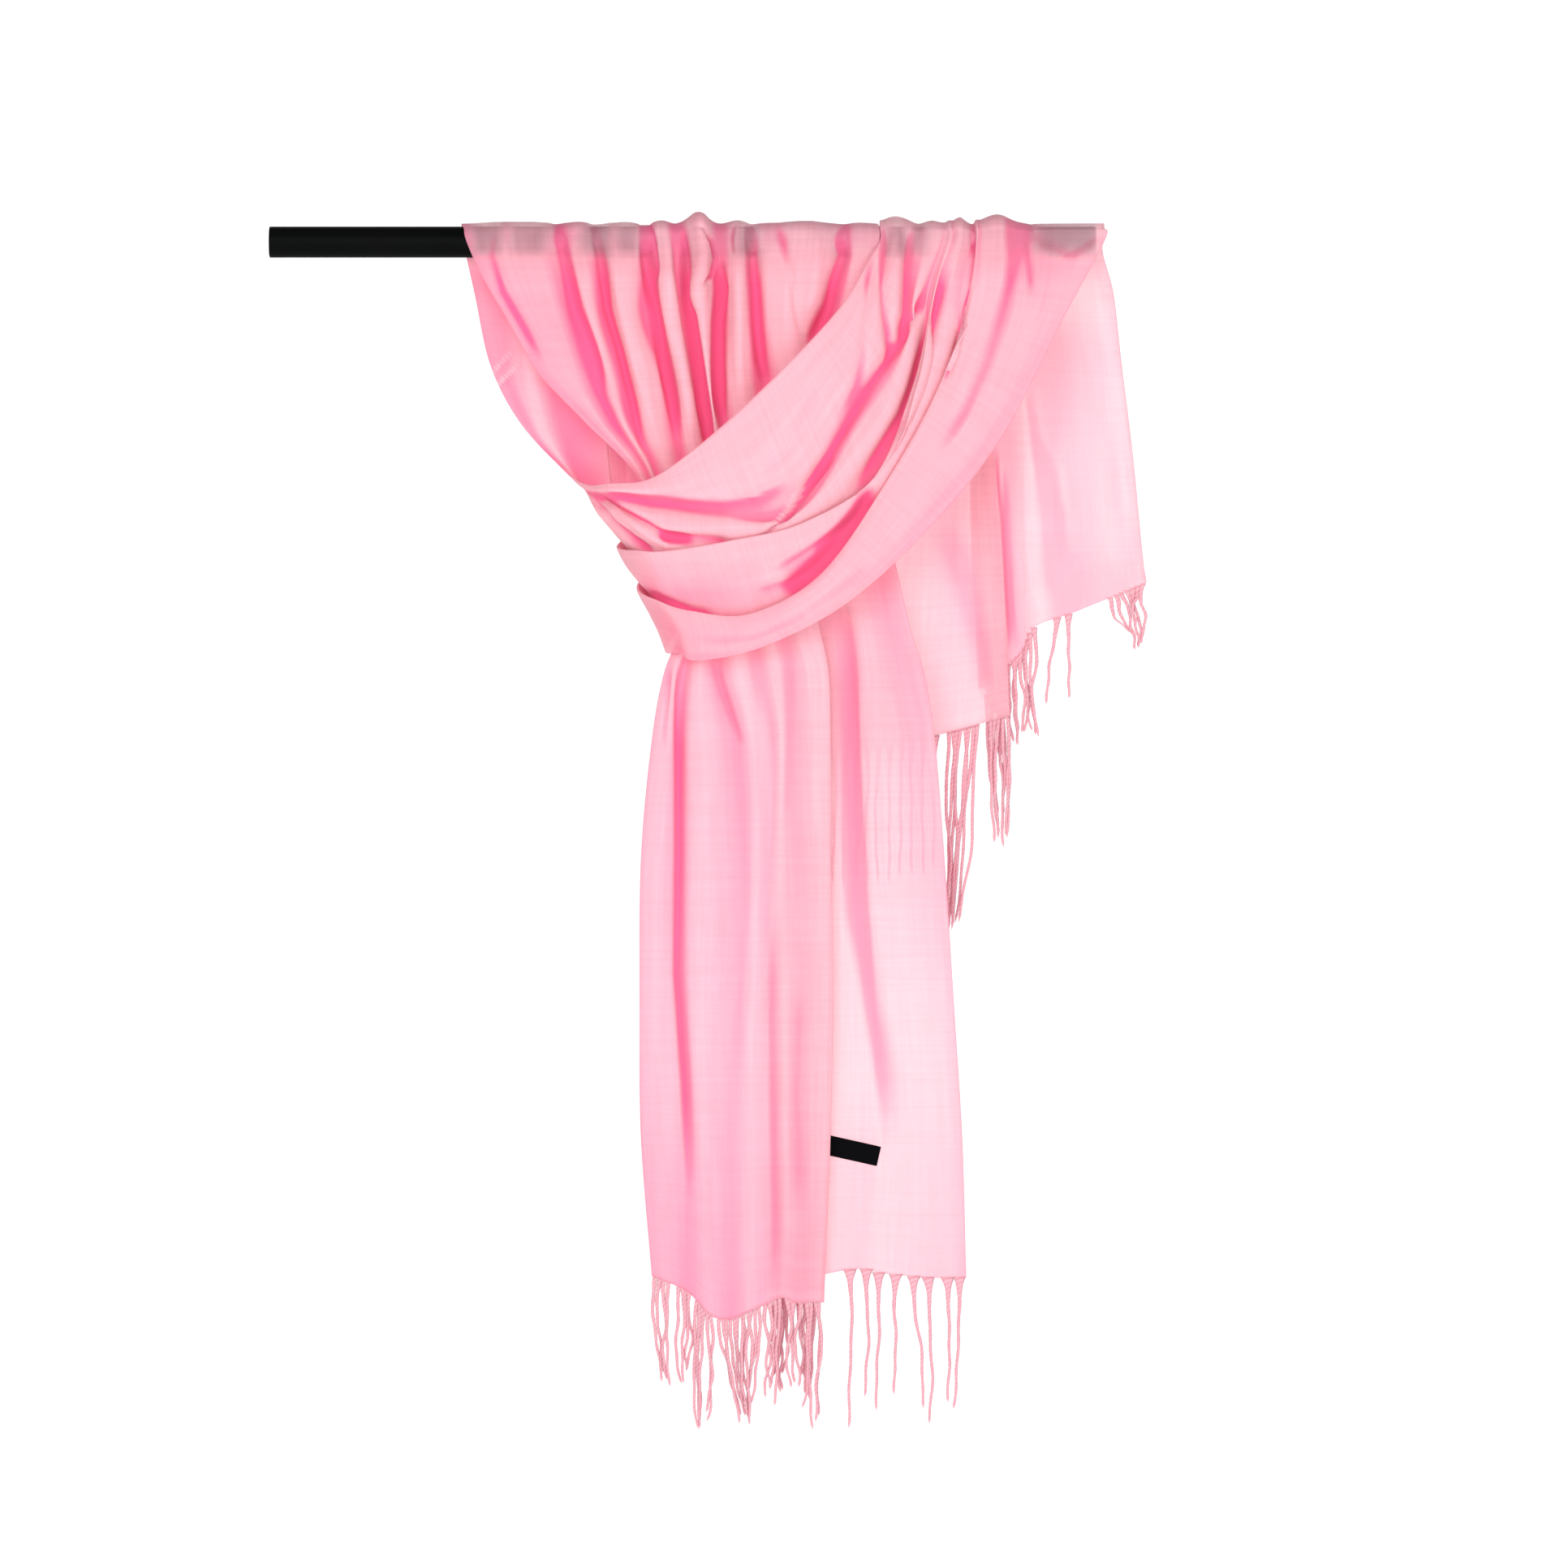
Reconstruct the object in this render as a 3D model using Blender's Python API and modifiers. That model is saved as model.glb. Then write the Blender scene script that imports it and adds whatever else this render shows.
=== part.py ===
"""A fringed woven shawl looped over a round black rod.

The cloth is one long rectangle. From its long tail it climbs the front of the rod as a
gathered fan, goes over the rod, comes down behind, turns round the left side of the bundle,
rises to the right across the front as a sling, goes over the rod again and ends in a short
flap behind it. Metres, +Z up, the viewer looks along +Y. The origin is the centre of the
rod's left end, and the rod runs along +X.
"""

import math
from collections import namedtuple

import bmesh
import bpy
import numpy as np
from mathutils import Vector
from mathutils.bvhtree import BVHTree

MM = 0.001
COLLECTION = "shawl_on_rod"

# Driving sizes, in millimetres.
ROD_DIAMETER = 23.0
ROD_LENGTH = 615.0
ROD_SIDES = 32
CLOTH = 1.4  # thickness of the cloth's wall
SEAM = 0.3  # gap left between pieces that meet
TURN_GAP = 0.7  # the same, measured along the slanting folds at the left turn
WRAP_RADIUS = ROD_DIAMETER / 2 + CLOTH / 2 + 1.5  # middle of the cloth where it lies on the rod
FRINGE_LENGTH = 105.0
STRAND_WIDTH = 2.2
STRAND_TIP = 1.5
STRAND_BOW = 1.8  # how far a strand bends to one side
TIP_SPACING = 2.9  # between the tips of one bunch
STRIP_HEIGHT = 3.0  # the narrow strip that holds the roots of the strands
LABEL_LENGTH = 50.0
LABEL_HEIGHT = 14.5
LABEL_THICKNESS = 0.8

# How finely the cloth is divided between two neighbouring stations or folds.
ALONG_STEPS = 2
FOLD_STEPS = 2

# The cloth's way over the rod: angle from the front of the rod, how much of a gather's full
# height stands there, and how much of the fan's right edge laps under the sling.
OnRod = namedtuple("OnRod", "angle share lap")
OVER_ROD = (
    OnRod(0, 0.8, 1.0),
    OnRod(45, 1.0, 1.0),
    OnRod(90, 1.0, 0.6),
    OnRod(135, 0.6, 0.0),
    OnRod(165, 0.0, 0.0),
)
FAN_LAP = 5.0
LEFT_SLANT = 4.0  # how far the fan's left edge moves to the right down the front of the rod
OPEN_SPREAD = 1.6  # a U-turn that has opened is two lines, each this far from its middle

# ---------------------------------------------------------------------------------------
# Fan: a row for each fold, left to right. x is its place at each height of FAN_HEIGHTS and
# then on the rod; rise is how far it stands forward; crest is how high it stands on the rod.
# ---------------------------------------------------------------------------------------
FAN_HEIGHTS = (-230, -175, -133, -97, -56, -25)
FAN_DEPTHS = (20, 19, 18, 17, 15.5, 14.5)  # how far in front of the rod's axis
FAN_RELIEF = (0.9, 0.9, 1.0, 1.0, 0.9, 0.7)  # share of the rise at each height
FanFold = namedtuple("FanFold", "name x rise crest")
FAN = (
    FanFold("left_edge", (284, 272, 233, 199, 175, 157, 142), 0, 0),
    FanFold("ridge_a", (288, 276, 245, 221, 202, 190, 185), 4, 1.2),
    FanFold("dip_a", (292, 280, 255, 238, 224, 216, 211), 0, 0),
    FanFold("ridge_b", (296, 284, 262, 250, 238, 231, 228), 5, 1.5),
    FanFold("dip_b", (300, 288, 270, 262, 250, 247, 245), -1, 0),
    FanFold("ridge_c", (309, 297, 284, 277, 266, 263, 262), 6, 1.5),
    FanFold("dip_c", (318, 307, 298, 292, 280, 279, 278), -1, 0),
    FanFold("ridge_d", (326, 317, 310, 304, 294, 292, 290), 6, 2.2),
    FanFold("dip_d", (333, 327, 320, 314, 307, 304, 301), -1, 0.3),
    FanFold("ridge_e", (341, 335, 329, 324, 320, 319, 317), 8, 6),
    FanFold("dip_e", (348, 342, 337, 334, 334, 333, 332), -1, 0),
    FanFold("ridge_f", (361, 356, 353, 349, 348, 347, 346), 6, 2.5),
    FanFold("dip_f", (378, 374, 370, 365, 362, 361, 360), 0, 0),
    FanFold("ridge_g", (397, 394, 390, 388, 386, 389, 392), 6, 1.8),
    FanFold("dip_g", (415, 412, 409, 407, 410, 418, 422), -1, 0),
    FanFold("ridge_h", (437, 434, 432, 431, 431, 433, 436), 3, 0.6),
    FanFold("right_edge", (458, 456, 454, 451, 449, 447, 446), 0, 0),
)

# ---------------------------------------------------------------------------------------
# Tail: the long end in front. Its left part lies over its right part, with a tuck between.
# x at each height of TAIL_HEIGHTS and at the hem, whose own height is hem; plane is how far
# in front of the rod's axis that layer hangs; rise is the fold's own height; turn is how far
# the cloth moves forward where it turns back on itself, and 0 where it doesn't.
# ---------------------------------------------------------------------------------------
TAIL_HEIGHTS = (-230, -283, -319, -369, -457, -565, -661)
TAIL_RELIEF = (0.7, 0.8, 1.0, 1.0, 0.8, 0.6, 0.5, 0.6)
TailFold = namedtuple("TailFold", "name x hem plane rise turn")
TAIL = (
    TailFold("left_edge", (306, 305, 292, 283, 275, 274, 275, 283), -763, 25, -3, 0),
    TailFold("ridge_a", (311, 310, 301, 293, 288, 288, 293, 296), -768, 25, 3, 0),
    TailFold("dip_a", (316, 316, 307, 304, 304, 306, 310, 311), -776, 25, -6, 0),
    TailFold("ridge_b", (322, 322, 318, 320, 322, 320, 322, 326), -792, 25, 3, 0),
    TailFold("dip_b", (329, 331, 332, 343, 348, 344, 341, 341), -795, 25, -3, 0),
    TailFold("ridge_c", (338, 342, 348, 359, 360, 356, 354, 354), -789, 25, 4, 0),
    TailFold("dip_c", (348, 354, 362, 371, 370, 366, 366, 365), -785, 25, -2, 0),
    TailFold("ridge_d", (359, 366, 374, 379, 378, 379, 380, 378), -779, 25, 3, 0),
    TailFold("dip_d", (368, 377, 385, 388, 389, 391, 391, 390), -783, 25, -1, 0),
    TailFold("ridge_e", (380, 391, 400, 402, 403, 404, 403, 401), -782, 25, 2, 0),
    TailFold("front_edge", (392, 404, 411, 412, 412, 413, 411, 407), -782, 22.5, 0, -4.5),
    TailFold("tuck", (383, 386, 386, 383, 377, 371, 371, 372), -771, 15.5, 0, -4.5),
    TailFold("dip_f", (407, 418, 422, 425, 428, 432, 432, 430), -759, 10, -2, 0),
    TailFold("ridge_f", (422, 434, 438, 440, 445, 451, 456, 454), -762, 10, 5, 0),
    TailFold("dip_g", (442, 454, 461, 469, 474, 480, 485, 486), -765, 10, -2, 0),
    TailFold("right_edge", (461, 473, 484, 492, 499, 506, 512, 515), -765, 10, 0, 0),
)

# ---------------------------------------------------------------------------------------
# Wrap: back stretch and sling are one run of cloth with the same folds, from the rod's back
# to the left turn and up to the right over the rod. path is each fold's (x, z) at the
# sling's stations, from the left turn to the rod; rise is how far it stands outwards; turn
# how far the cloth moves outwards where it turns back on itself; crest its height on the
# rod; at_rod and at_turn its share of the back stretch's width where that leaves the rod
# and where it reaches the turn.
# ---------------------------------------------------------------------------------------
Station = namedtuple("Station", "depth facing relief closed")
BACK = (
    # depth is in front of the rod's axis; facing is the way the outer side looks, from 0 at
    # the viewer through 90 at the left to 180 behind; closed is how far the U-turns are shut
    Station(-15.5, 180, 0.4, 0.0),
    Station(-17.5, 180, 0.5, 0.0),
    Station(-18.5, 180, 0.5, 0.0),
    Station(-15.0, 150, 0.5, 0.4),
)
SLING = (
    Station(10, 90, 1.0, 0.8),
    Station(36, 20, 0.9, 1.0),
    Station(46, 0, 1.0, 1.0),
    Station(52, 0, 1.0, 1.0),
    Station(50, 0, 1.1, 1.0),
    Station(44, 0, 1.1, 1.0),
    Station(34, 0, 0.9, 0.8),
    Station(22, 0, 0.5, 0.0),
)
BACK_LEFT = ((151, -37), (163, -91), (185, -133), (217, -167))
BACK_RIGHT = ((431, -61), (401, -127), (359, -199), (322, -262))
WrapFold = namedtuple("WrapFold", "name path rise turn crest at_rod at_turn")
WRAP = (
    WrapFold(
        "top_edge",
        ((235, -179), (252, -180), (281, -177), (311, -158), (356, -119), (401, -74),
         (427, -43), (442, -16), (451, 0)),
        1, 0, 2.4, 0.0, 0.0,
    ),
    WrapFold(
        "ridge_a",
        ((239, -183), (254, -186), (284, -186), (318, -179), (370, -157), (417, -100),
         (444, -60), (457, -25), (464, 0)),
        4, 0, 5.5, 0.08, 0.03,
    ),
    WrapFold(
        "dip_a",
        ((241, -190), (258, -192), (290, -194), (332, -199), (386, -195), (431, -130),
         (461, -85), (472, -40), (478, 0)),
        -2, 0, 0, 0.17, 0.08,
    ),
    WrapFold(
        "ridge_b",
        ((246, -202), (266, -208), (292, -214), (334, -214), (390, -205), (438, -154),
         (468, -94), (478, -40), (488, 0)),
        2, 0, 2, 0.26, 0.18,
    ),
    WrapFold(
        "pocket_b",
        ((264, -233), (277, -239), (297, -240), (343, -234), (398, -220), (448, -180),
         (479, -110), (486, -42), (498, 0)),
        -5, 3.5, 0.5, 0.35, 0.38,
    ),
    WrapFold(
        "lip_b",
        ((261, -227), (275, -231), (294, -232), (341, -225), (395, -211), (446, -176),
         (474, -109), (491, -40), (504, 0)),
        2.5, 3.5, 2, 0.42, 0.47,
    ),
    WrapFold(
        "ridge_c",
        ((267, -241), (282, -250), (303, -254), (349, -251), (401, -231), (450, -184),
         (484, -112), (500, -42), (511, 0)),
        2, 0, 4.5, 0.5, 0.54,
    ),
    WrapFold(
        "pocket_c",
        ((278, -264), (293, -277), (316, -284), (360, -287), (415, -259), (459, -197),
         (502, -121), (509, -44), (518, 0)),
        -5, 3.5, 0.5, 0.58, 0.63,
    ),
    WrapFold(
        "lip_c",
        ((277, -257), (291, -268), (313, -275), (356, -277), (407, -249), (452, -188),
         (494, -114), (517.5, -43), (524, 0)),
        3.5, 3.5, 2.5, 0.66, 0.69,
    ),
    WrapFold(
        "ridge_d",
        ((290, -274), (300, -283), (316, -288), (360, -287), (414, -256), (464, -198),
         (512, -126), (536, -48), (539, 0)),
        8.5, 0, 6.5, 0.77, 0.76,
    ),
    WrapFold(
        "dip_d",
        ((295, -287), (304, -295), (317, -300), (362, -295), (419, -263), (473, -205),
         (524, -134), (559, -51), (560, 0)),
        7, 0, 0.3, 0.88, 0.88,
    ),
    WrapFold(
        "hem_edge",
        ((296, -300), (305, -305), (318, -310), (365, -300), (425, -269), (485, -215),
         (539, -148), (587, -56), (617, 0)),
        3, 0, 0, 1.0, 1.0,
    ),
)
TURN_SEAM = 0.5  # the back stretch ends this far past its last station, behind the turn

# ---------------------------------------------------------------------------------------
# Flap: the short end behind. x at each height of FLAP_HEIGHTS and at the hem; plane, rise
# and turn as on the tail, but measured behind the rod's axis.
# ---------------------------------------------------------------------------------------
FLAP_HEIGHTS = (-8, -37, -85, -157, -229)
FLAP_PLANES = (15, 21, 28, 31, 31, 28)
FLAP_RELIEF = (0.1, 0.4, 0.8, 1.0, 1.0, 1.0)
FlapFold = namedtuple("FlapFold", "name x hem rise turn")
FLAP = (
    FlapFold("left_edge", (451, 444, 426, 395, 354, 292), -379, -2, 0),
    FlapFold("ridge_a", (463, 458, 444, 420, 388, 336), -378, 3, 0),
    FlapFold("dip_a", (475, 471, 459, 440, 415, 378), -376, -3, 0),
    FlapFold("ridge_b", (487, 484, 473, 460, 442, 420), -374, 3, 0),
    FlapFold("dip_b", (498, 495, 486, 476, 463, 458), -371, -3, 0),
    FlapFold("ridge_c", (511, 509, 508, 506, 504, 500), -363, 0, 0),
    FlapFold("front_edge", (524, 526, 528, 534, 539, 544), -351, -1, 3.5),
    FlapFold("tuck", (529, 528, 523, 522, 523, 528), -329, 5, 3.5),
    FlapFold("ridge_d", (541, 542, 546, 550, 553, 557), -303, 9, 0),
    FlapFold("dip_d", (554, 555, 557, 562, 563, 567), -284, 6, 0),
    FlapFold("ridge_e", (578, 577, 582, 588, 593, 596), -273, 9, 0),
    FlapFold("right_edge", (617, 625, 631, 640, 647, 650), -251, 6, 0),
)

# ---------------------------------------------------------------------------------------
# Fringe: a row for each bunch of strands. start and end are its place along the hem, by
# share of the hem's length; end_x and end_z are where its tips hang together, or None where
# the strands hang straight.
# ---------------------------------------------------------------------------------------
Bunch = namedtuple("Bunch", "start end strands end_x end_z")
TAIL_FRINGE = (
    Bunch(0.005, 0.041, 3, 293, -853),
    Bunch(0.060, 0.092, 3, 307, -846),
    Bunch(0.112, 0.144, 3, 320, -876),
    Bunch(0.182, 0.264, 6, 352, -871),
    Bunch(0.280, 0.316, 3, 370, -860),
    Bunch(0.334, 0.346, 1, 386, -860),
    Bunch(0.362, 0.382, 2, 394, -862),
    Bunch(0.387, 0.405, 2, 404, -877),
    Bunch(0.460, 0.490, 2, 395, -850),
    Bunch(0.515, 0.540, 2, 374, -848),
    Bunch(0.590, 0.620, 2, 378, -850),
    Bunch(0.650, 0.675, 2, 396, -855),
    Bunch(0.742, 0.752, 1, 428, -876),
    Bunch(0.778, 0.788, 1, 440, -853),
    Bunch(0.806, 0.816, 1, 449, -863),
    Bunch(0.843, 0.853, 1, 462, -851),
    Bunch(0.881, 0.923, 2, 484.5, -878),
    Bunch(0.954, 0.964, 1, 501, -857),
    Bunch(0.982, 0.992, 1, 506, -862),
)
FLAP_FRINGE = (
    Bunch(0.010, 0.455, 16, None, None),
    Bunch(0.466, 0.518, 6, 505, -512),
    Bunch(0.540, 0.574, 4, 542, -452),
    Bunch(0.600, 0.640, 2, 541, -436),
    Bunch(0.680, 0.714, 2, 545, -410),
    Bunch(0.724, 0.762, 4, 555, -379),
    Bunch(0.776, 0.796, 2, 567, -375),
    Bunch(0.836, 0.846, 1, 575, -341),
    Bunch(0.855, 0.865, 1, 592, -337),
    Bunch(0.944, 0.994, 5, 643.5, -302),
)

# Label: its centre and tilt on the right layer of the tail, and the depth, between the two
# layers, from which its place on the cloth is found.
LABEL_X = 426.0
LABEL_Z = -670.0
LABEL_TILT = math.radians(-12.6)
LABEL_PROBE_Y = -16.0
LABEL_COLUMNS = 8

PINK = (0.93, 0.50, 0.62, 1.0)
BLACK = (0.012, 0.012, 0.013, 1.0)
LABEL_BLACK = (0.02, 0.02, 0.022, 1.0)


def clear_scene():
    """Remove every object that the file opened with."""
    for obj in list(bpy.data.objects):
        bpy.data.objects.remove(obj, do_unlink=True)


def make_material(name, colour, roughness, metallic=0.0):
    material = bpy.data.materials.new(name)
    material.use_nodes = True
    shader = material.node_tree.nodes["Principled BSDF"]
    shader.inputs["Base Color"].default_value = colour
    shader.inputs["Roughness"].default_value = roughness
    shader.inputs["Metallic"].default_value = metallic
    return material


def spline_weights(count, positions):
    """Weights that draw one smooth curve through count points, read at each position.

    Position 0 is the first point and count - 1 the last. The curve goes on straight past
    its ends, so that an edge doesn't curl.
    """
    weights = np.zeros((len(positions), count))
    for row, position in enumerate(positions):
        start = min(int(position), count - 2)
        t = position - start
        shares = (
            (-t + 2 * t**2 - t**3) / 2,
            (2 - 5 * t**2 + 3 * t**3) / 2,
            (t + 4 * t**2 - 3 * t**3) / 2,
            (-(t**2) + t**3) / 2,
        )
        for offset, share in zip((-1, 0, 1, 2), shares):
            index = start + offset
            if index < 0:
                weights[row, 0] += 2 * share
                weights[row, 1] -= share
            elif index >= count:
                weights[row, count - 1] += 2 * share
                weights[row, count - 2] -= share
            else:
                weights[row, index] += share
    return weights


def surface(stations, along, across):
    """Points of the cloth through stations[station][fold], read at the given positions."""
    points = np.asarray(stations, dtype=float)
    along_weights = spline_weights(points.shape[0], along)
    across_weights = spline_weights(points.shape[1], across)
    return np.einsum("as,sfc,bf->abc", along_weights, points, across_weights)


def steps(start, end, per_unit):
    """Evenly spaced positions from start to end, about per_unit of them to each unit."""
    return np.linspace(start, end, max(2, round((end - start) * per_unit) + 1))


def rod_point(x, angle_degrees, height):
    """A point of the cloth on the rod, at an angle from the rod's front."""
    angle = math.radians(angle_degrees)
    radius = WRAP_RADIUS + height
    return (x, -radius * math.cos(angle), radius * math.sin(angle))


def opened(folds):
    """Each fold's line, as (fold, side): one with side 0, or two at -1 and 1 for a U-turn."""
    lines = []
    for fold in folds:
        lines.extend((fold, side) for side in ((-1, 1) if fold.turn else (0,)))
    return lines


def fan_stations():
    """The fan from its throat up the front and over the rod to its back."""
    rows = []
    for level, height in enumerate(FAN_HEIGHTS):
        depth, relief = FAN_DEPTHS[level], FAN_RELIEF[level]
        rows.append([(fold.x[level], -(depth + fold.rise * relief), height) for fold in FAN])
    for place in OVER_ROD:
        row = [rod_point(fold.x[-1], place.angle, fold.crest * place.share) for fold in FAN]
        left = FAN[0].x[-1] + LEFT_SLANT * max(0, 1 - place.angle / 90)
        row[0] = rod_point(left, place.angle, 0)
        row[-1] = rod_point(FAN[-1].x[-1] + FAN_LAP * place.lap, place.angle, 0)
        rows.append(row)
    return rows


def tail_stations():
    """The tail from the throat down to its hem."""
    rows = []
    for level, relief in enumerate(TAIL_RELIEF):
        row = []
        for fold, side in opened(TAIL):
            height = TAIL_HEIGHTS[level] if level < len(TAIL_HEIGHTS) else fold.hem
            forward = fold.plane + fold.rise * relief + side * fold.turn / 2
            row.append((fold.x[level], -forward, height))
        rows.append(row)
    return rows


def flap_stations():
    """The flap from the rod's back down to its hem."""
    left, right = FLAP[0].x[0], FLAP[-1].x[0]
    share = [(fold.x[0] + side * OPEN_SPREAD - left) / (right - left) for fold, side in opened(FLAP)]
    behind_rod = OVER_ROD[-1].angle
    rows = [[rod_point(left + (right - left) * part, behind_rod, 0) for part in share]]
    for level, relief in enumerate(FLAP_RELIEF):
        row = []
        for fold, side in opened(FLAP):
            height = FLAP_HEIGHTS[level] if level < len(FLAP_HEIGHTS) else fold.hem
            shut = min(1.0, relief)
            x = fold.x[level] + side * OPEN_SPREAD * (1 - shut)
            behind = FLAP_PLANES[level] + fold.rise * relief + side * fold.turn / 2 * shut
            row.append((x, behind, height))
        rows.append(row)
    return rows


def wrap_point(place, station, fold, side):
    """A point of the wrap: its (x, z) place moved out the way that the cloth's side faces."""
    facing = math.radians(station.facing)
    out = fold.rise * station.relief + side * fold.turn / 2 * station.closed
    return (place[0] - out * math.sin(facing), -station.depth - out * math.cos(facing), place[1])


def beside(fold_line, places):
    """Places of the fold's lines at a station, where an open U-turn's two lines part."""
    here = np.array(places[fold_line], dtype=float)
    ahead = np.array(places[min(fold_line + 1, len(places) - 1)], dtype=float)
    behind = np.array(places[max(fold_line - 1, 0)], dtype=float)
    across = ahead - behind
    return here, across / max(np.linalg.norm(across), 1e-6)


def wrap_row(places, station):
    """One section of the wrap, from each fold's (x, z) place."""
    row = []
    for number, fold in enumerate(WRAP):
        here, across = beside(number, places)
        for side in (-1, 1) if fold.turn else (0,):
            place = here + across * side * OPEN_SPREAD * (1 - station.closed)
            row.append(wrap_point(place, station, fold, side))
    return row


def wrap_rod_row(place, x_of):
    """One section of the wrap on the rod, with its U-turns open."""
    row = []
    for fold, side in opened(WRAP):
        x = x_of(fold) + side * OPEN_SPREAD
        row.append(rod_point(x, place.angle, fold.crest * place.share))
    return row


def wrap_stations():
    """The back stretch from the rod's back to the turn, then the sling up and over the rod."""
    left, right = FAN[0].x[-1], FAN[-1].x[-1]
    rows = [wrap_rod_row(OVER_ROD[-1], lambda fold: left + (right - left) * fold.at_rod)]
    for level, station in enumerate(BACK):
        turned = (level + 1) / (len(BACK) + 1)
        low, high = np.array(BACK_RIGHT[level]), np.array(BACK_LEFT[level])
        shares = [fold.at_rod + (fold.at_turn - fold.at_rod) * turned for fold in WRAP]
        rows.append(wrap_row([high + (low - high) * share for share in shares], station))
    for level, station in enumerate(SLING):
        rows.append(wrap_row([fold.path[level] for fold in WRAP], station))
    for place in OVER_ROD:
        rows.append(wrap_rod_row(place, lambda fold: fold.path[-1][0]))
    return rows


def new_object(name, mesh, material, collection):
    obj = bpy.data.objects.new(name, mesh)
    mesh.materials.append(material)
    collection.objects.link(obj)
    return obj


def sheet_mesh(name, grid):
    """An open surface of four-sided faces through a grid of points in millimetres."""
    rows, columns = grid.shape[:2]
    corners = [tuple(point) for point in (grid * MM).reshape(-1, 3)]
    faces = []
    for row in range(rows - 1):
        for column in range(columns - 1):
            first = row * columns + column
            faces.append((first, first + 1, first + columns + 1, first + columns))
    mesh = bpy.data.meshes.new(name)
    mesh.from_pydata(corners, [], faces)
    return mesh


def add_sheet(name, grid, thickness, material, collection):
    """A sheet given its wall by Solidify, half to each side of its middle surface."""
    obj = new_object(name, sheet_mesh(name, grid), material, collection)
    wall = obj.modifiers.new("wall", "SOLIDIFY")
    wall.thickness = thickness * MM
    wall.offset = 0.0
    return obj


def seam_step(stations, index, gap):
    """How far along, in stations, a seam's gap reaches on from a station."""
    ahead = np.asarray(stations[index + 1]) - np.asarray(stations[index])
    return gap / np.linalg.norm(ahead, axis=1).min()


def strand_places(hem, bunches):
    """Distances along the hem of the middles of its strands."""
    length = np.linalg.norm(np.diff(hem, axis=0), axis=1).sum()
    places = []
    for bunch in bunches:
        share = (np.arange(bunch.strands) + 0.5) / bunch.strands
        places.extend(length * (bunch.start + (bunch.end - bunch.start) * share))
    return np.array(places)


def bends_between(hem, places):
    """Distances along the hem of its own points, but for those that a strand covers."""
    run = np.concatenate([[0], np.cumsum(np.linalg.norm(np.diff(hem, axis=0), axis=1))])
    nearest = np.abs(run[:, None] - places[None, :]).min(axis=1)
    return run[nearest > STRAND_WIDTH / 2 + 0.3]


def along_hem(hem, distances):
    """Points and level normals of the hem at these distances from its left end."""
    run = np.concatenate([[0], np.cumsum(np.linalg.norm(np.diff(hem, axis=0), axis=1))])
    points = np.stack([np.interp(distances, run, hem[:, axis]) for axis in range(3)], axis=1)
    ahead = np.stack(
        [np.interp(distances + 0.5, run, hem[:, axis]) for axis in range(2)], axis=1
    )
    behind = np.stack(
        [np.interp(distances - 0.5, run, hem[:, axis]) for axis in range(2)], axis=1
    )
    tangents = ahead - behind
    tangents /= np.linalg.norm(tangents, axis=1)[:, None]
    normals = np.stack([-tangents[:, 1], tangents[:, 0], np.zeros(len(tangents))], axis=1)
    return points, normals


def strand_paths(roots, bunches):
    """Each strand's middles below its root. The strands of a bunch bend alike."""
    paths = []
    for number, bunch in enumerate(bunches):
        bow = STRAND_BOW * math.sin(1.7 * number + 0.6)
        first, last = len(paths), len(paths) + bunch.strands - 1
        rightwards = 1 if roots[last][0] >= roots[first][0] else -1
        for order in range(bunch.strands):
            root = roots[len(paths)]
            if bunch.end_x is None:
                end = (root[0], root[2] - FRINGE_LENGTH - 6.0 * math.sin(2.4 * order))
            else:
                aside = (order - (bunch.strands - 1) / 2) * TIP_SPACING * rightwards
                end = (bunch.end_x + aside, bunch.end_z + 3.0 * (order % 3))
            paths.append([strand_middle(root, end, share, bow) for share in (0.25, 0.6, 1.0)])
    return paths


def strand_middle(root, end, share, bow):
    """A point on a strand's way down, bent to one side by the bow."""
    x = root[0] + (end[0] - root[0]) * share**1.4 + bow * math.sin(math.pi * share)
    return (x, root[1], root[2] + (end[1] - root[2]) * share)


def add_fringe(name, hem, bunches, material, collection):
    """A narrow strip below the hem, with each strand extruded from a face under it."""
    places = strand_places(hem, bunches)
    half = STRAND_WIDTH / 2
    cuts = np.sort(np.concatenate([bends_between(hem, places), places - half, places + half]))
    points, normals = along_hem(hem, cuts)
    roots = along_hem(hem, places)[0] - np.array([0, 0, SEAM + STRIP_HEIGHT])
    paths = strand_paths(roots, bunches)
    first = {round(float(place - half), 4): number for number, place in enumerate(places)}

    bm = bmesh.new()
    rings = []
    for point, normal in zip(points, normals):
        ring = []
        for side, drop in ((-1, SEAM), (1, SEAM), (1, SEAM + STRIP_HEIGHT), (-1, SEAM + STRIP_HEIGHT)):
            place = point + normal * side * CLOTH / 2 - np.array([0, 0, drop])
            ring.append(bm.verts.new(place * MM))
        rings.append(ring)
    strand_faces = {}
    for index, (here, after) in enumerate(zip(rings, rings[1:])):
        for a, b in ((0, 1), (1, 2), (2, 3), (3, 0)):
            face = bm.faces.new((here[a], here[b], after[b], after[a]))
            number = first.get(round(float(cuts[index]), 4))
            if (a, b) == (2, 3) and number is not None:
                strand_faces[number] = face
    bm.faces.new(rings[0])
    bm.faces.new(rings[-1])
    for number, face in strand_faces.items():
        grow_strand(bm, face, roots[number], paths[number])
    bmesh.ops.recalc_face_normals(bm, faces=bm.faces)
    mesh = bpy.data.meshes.new(name)
    bm.to_mesh(mesh)
    bm.free()
    return new_object(name, mesh, material, collection)


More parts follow.
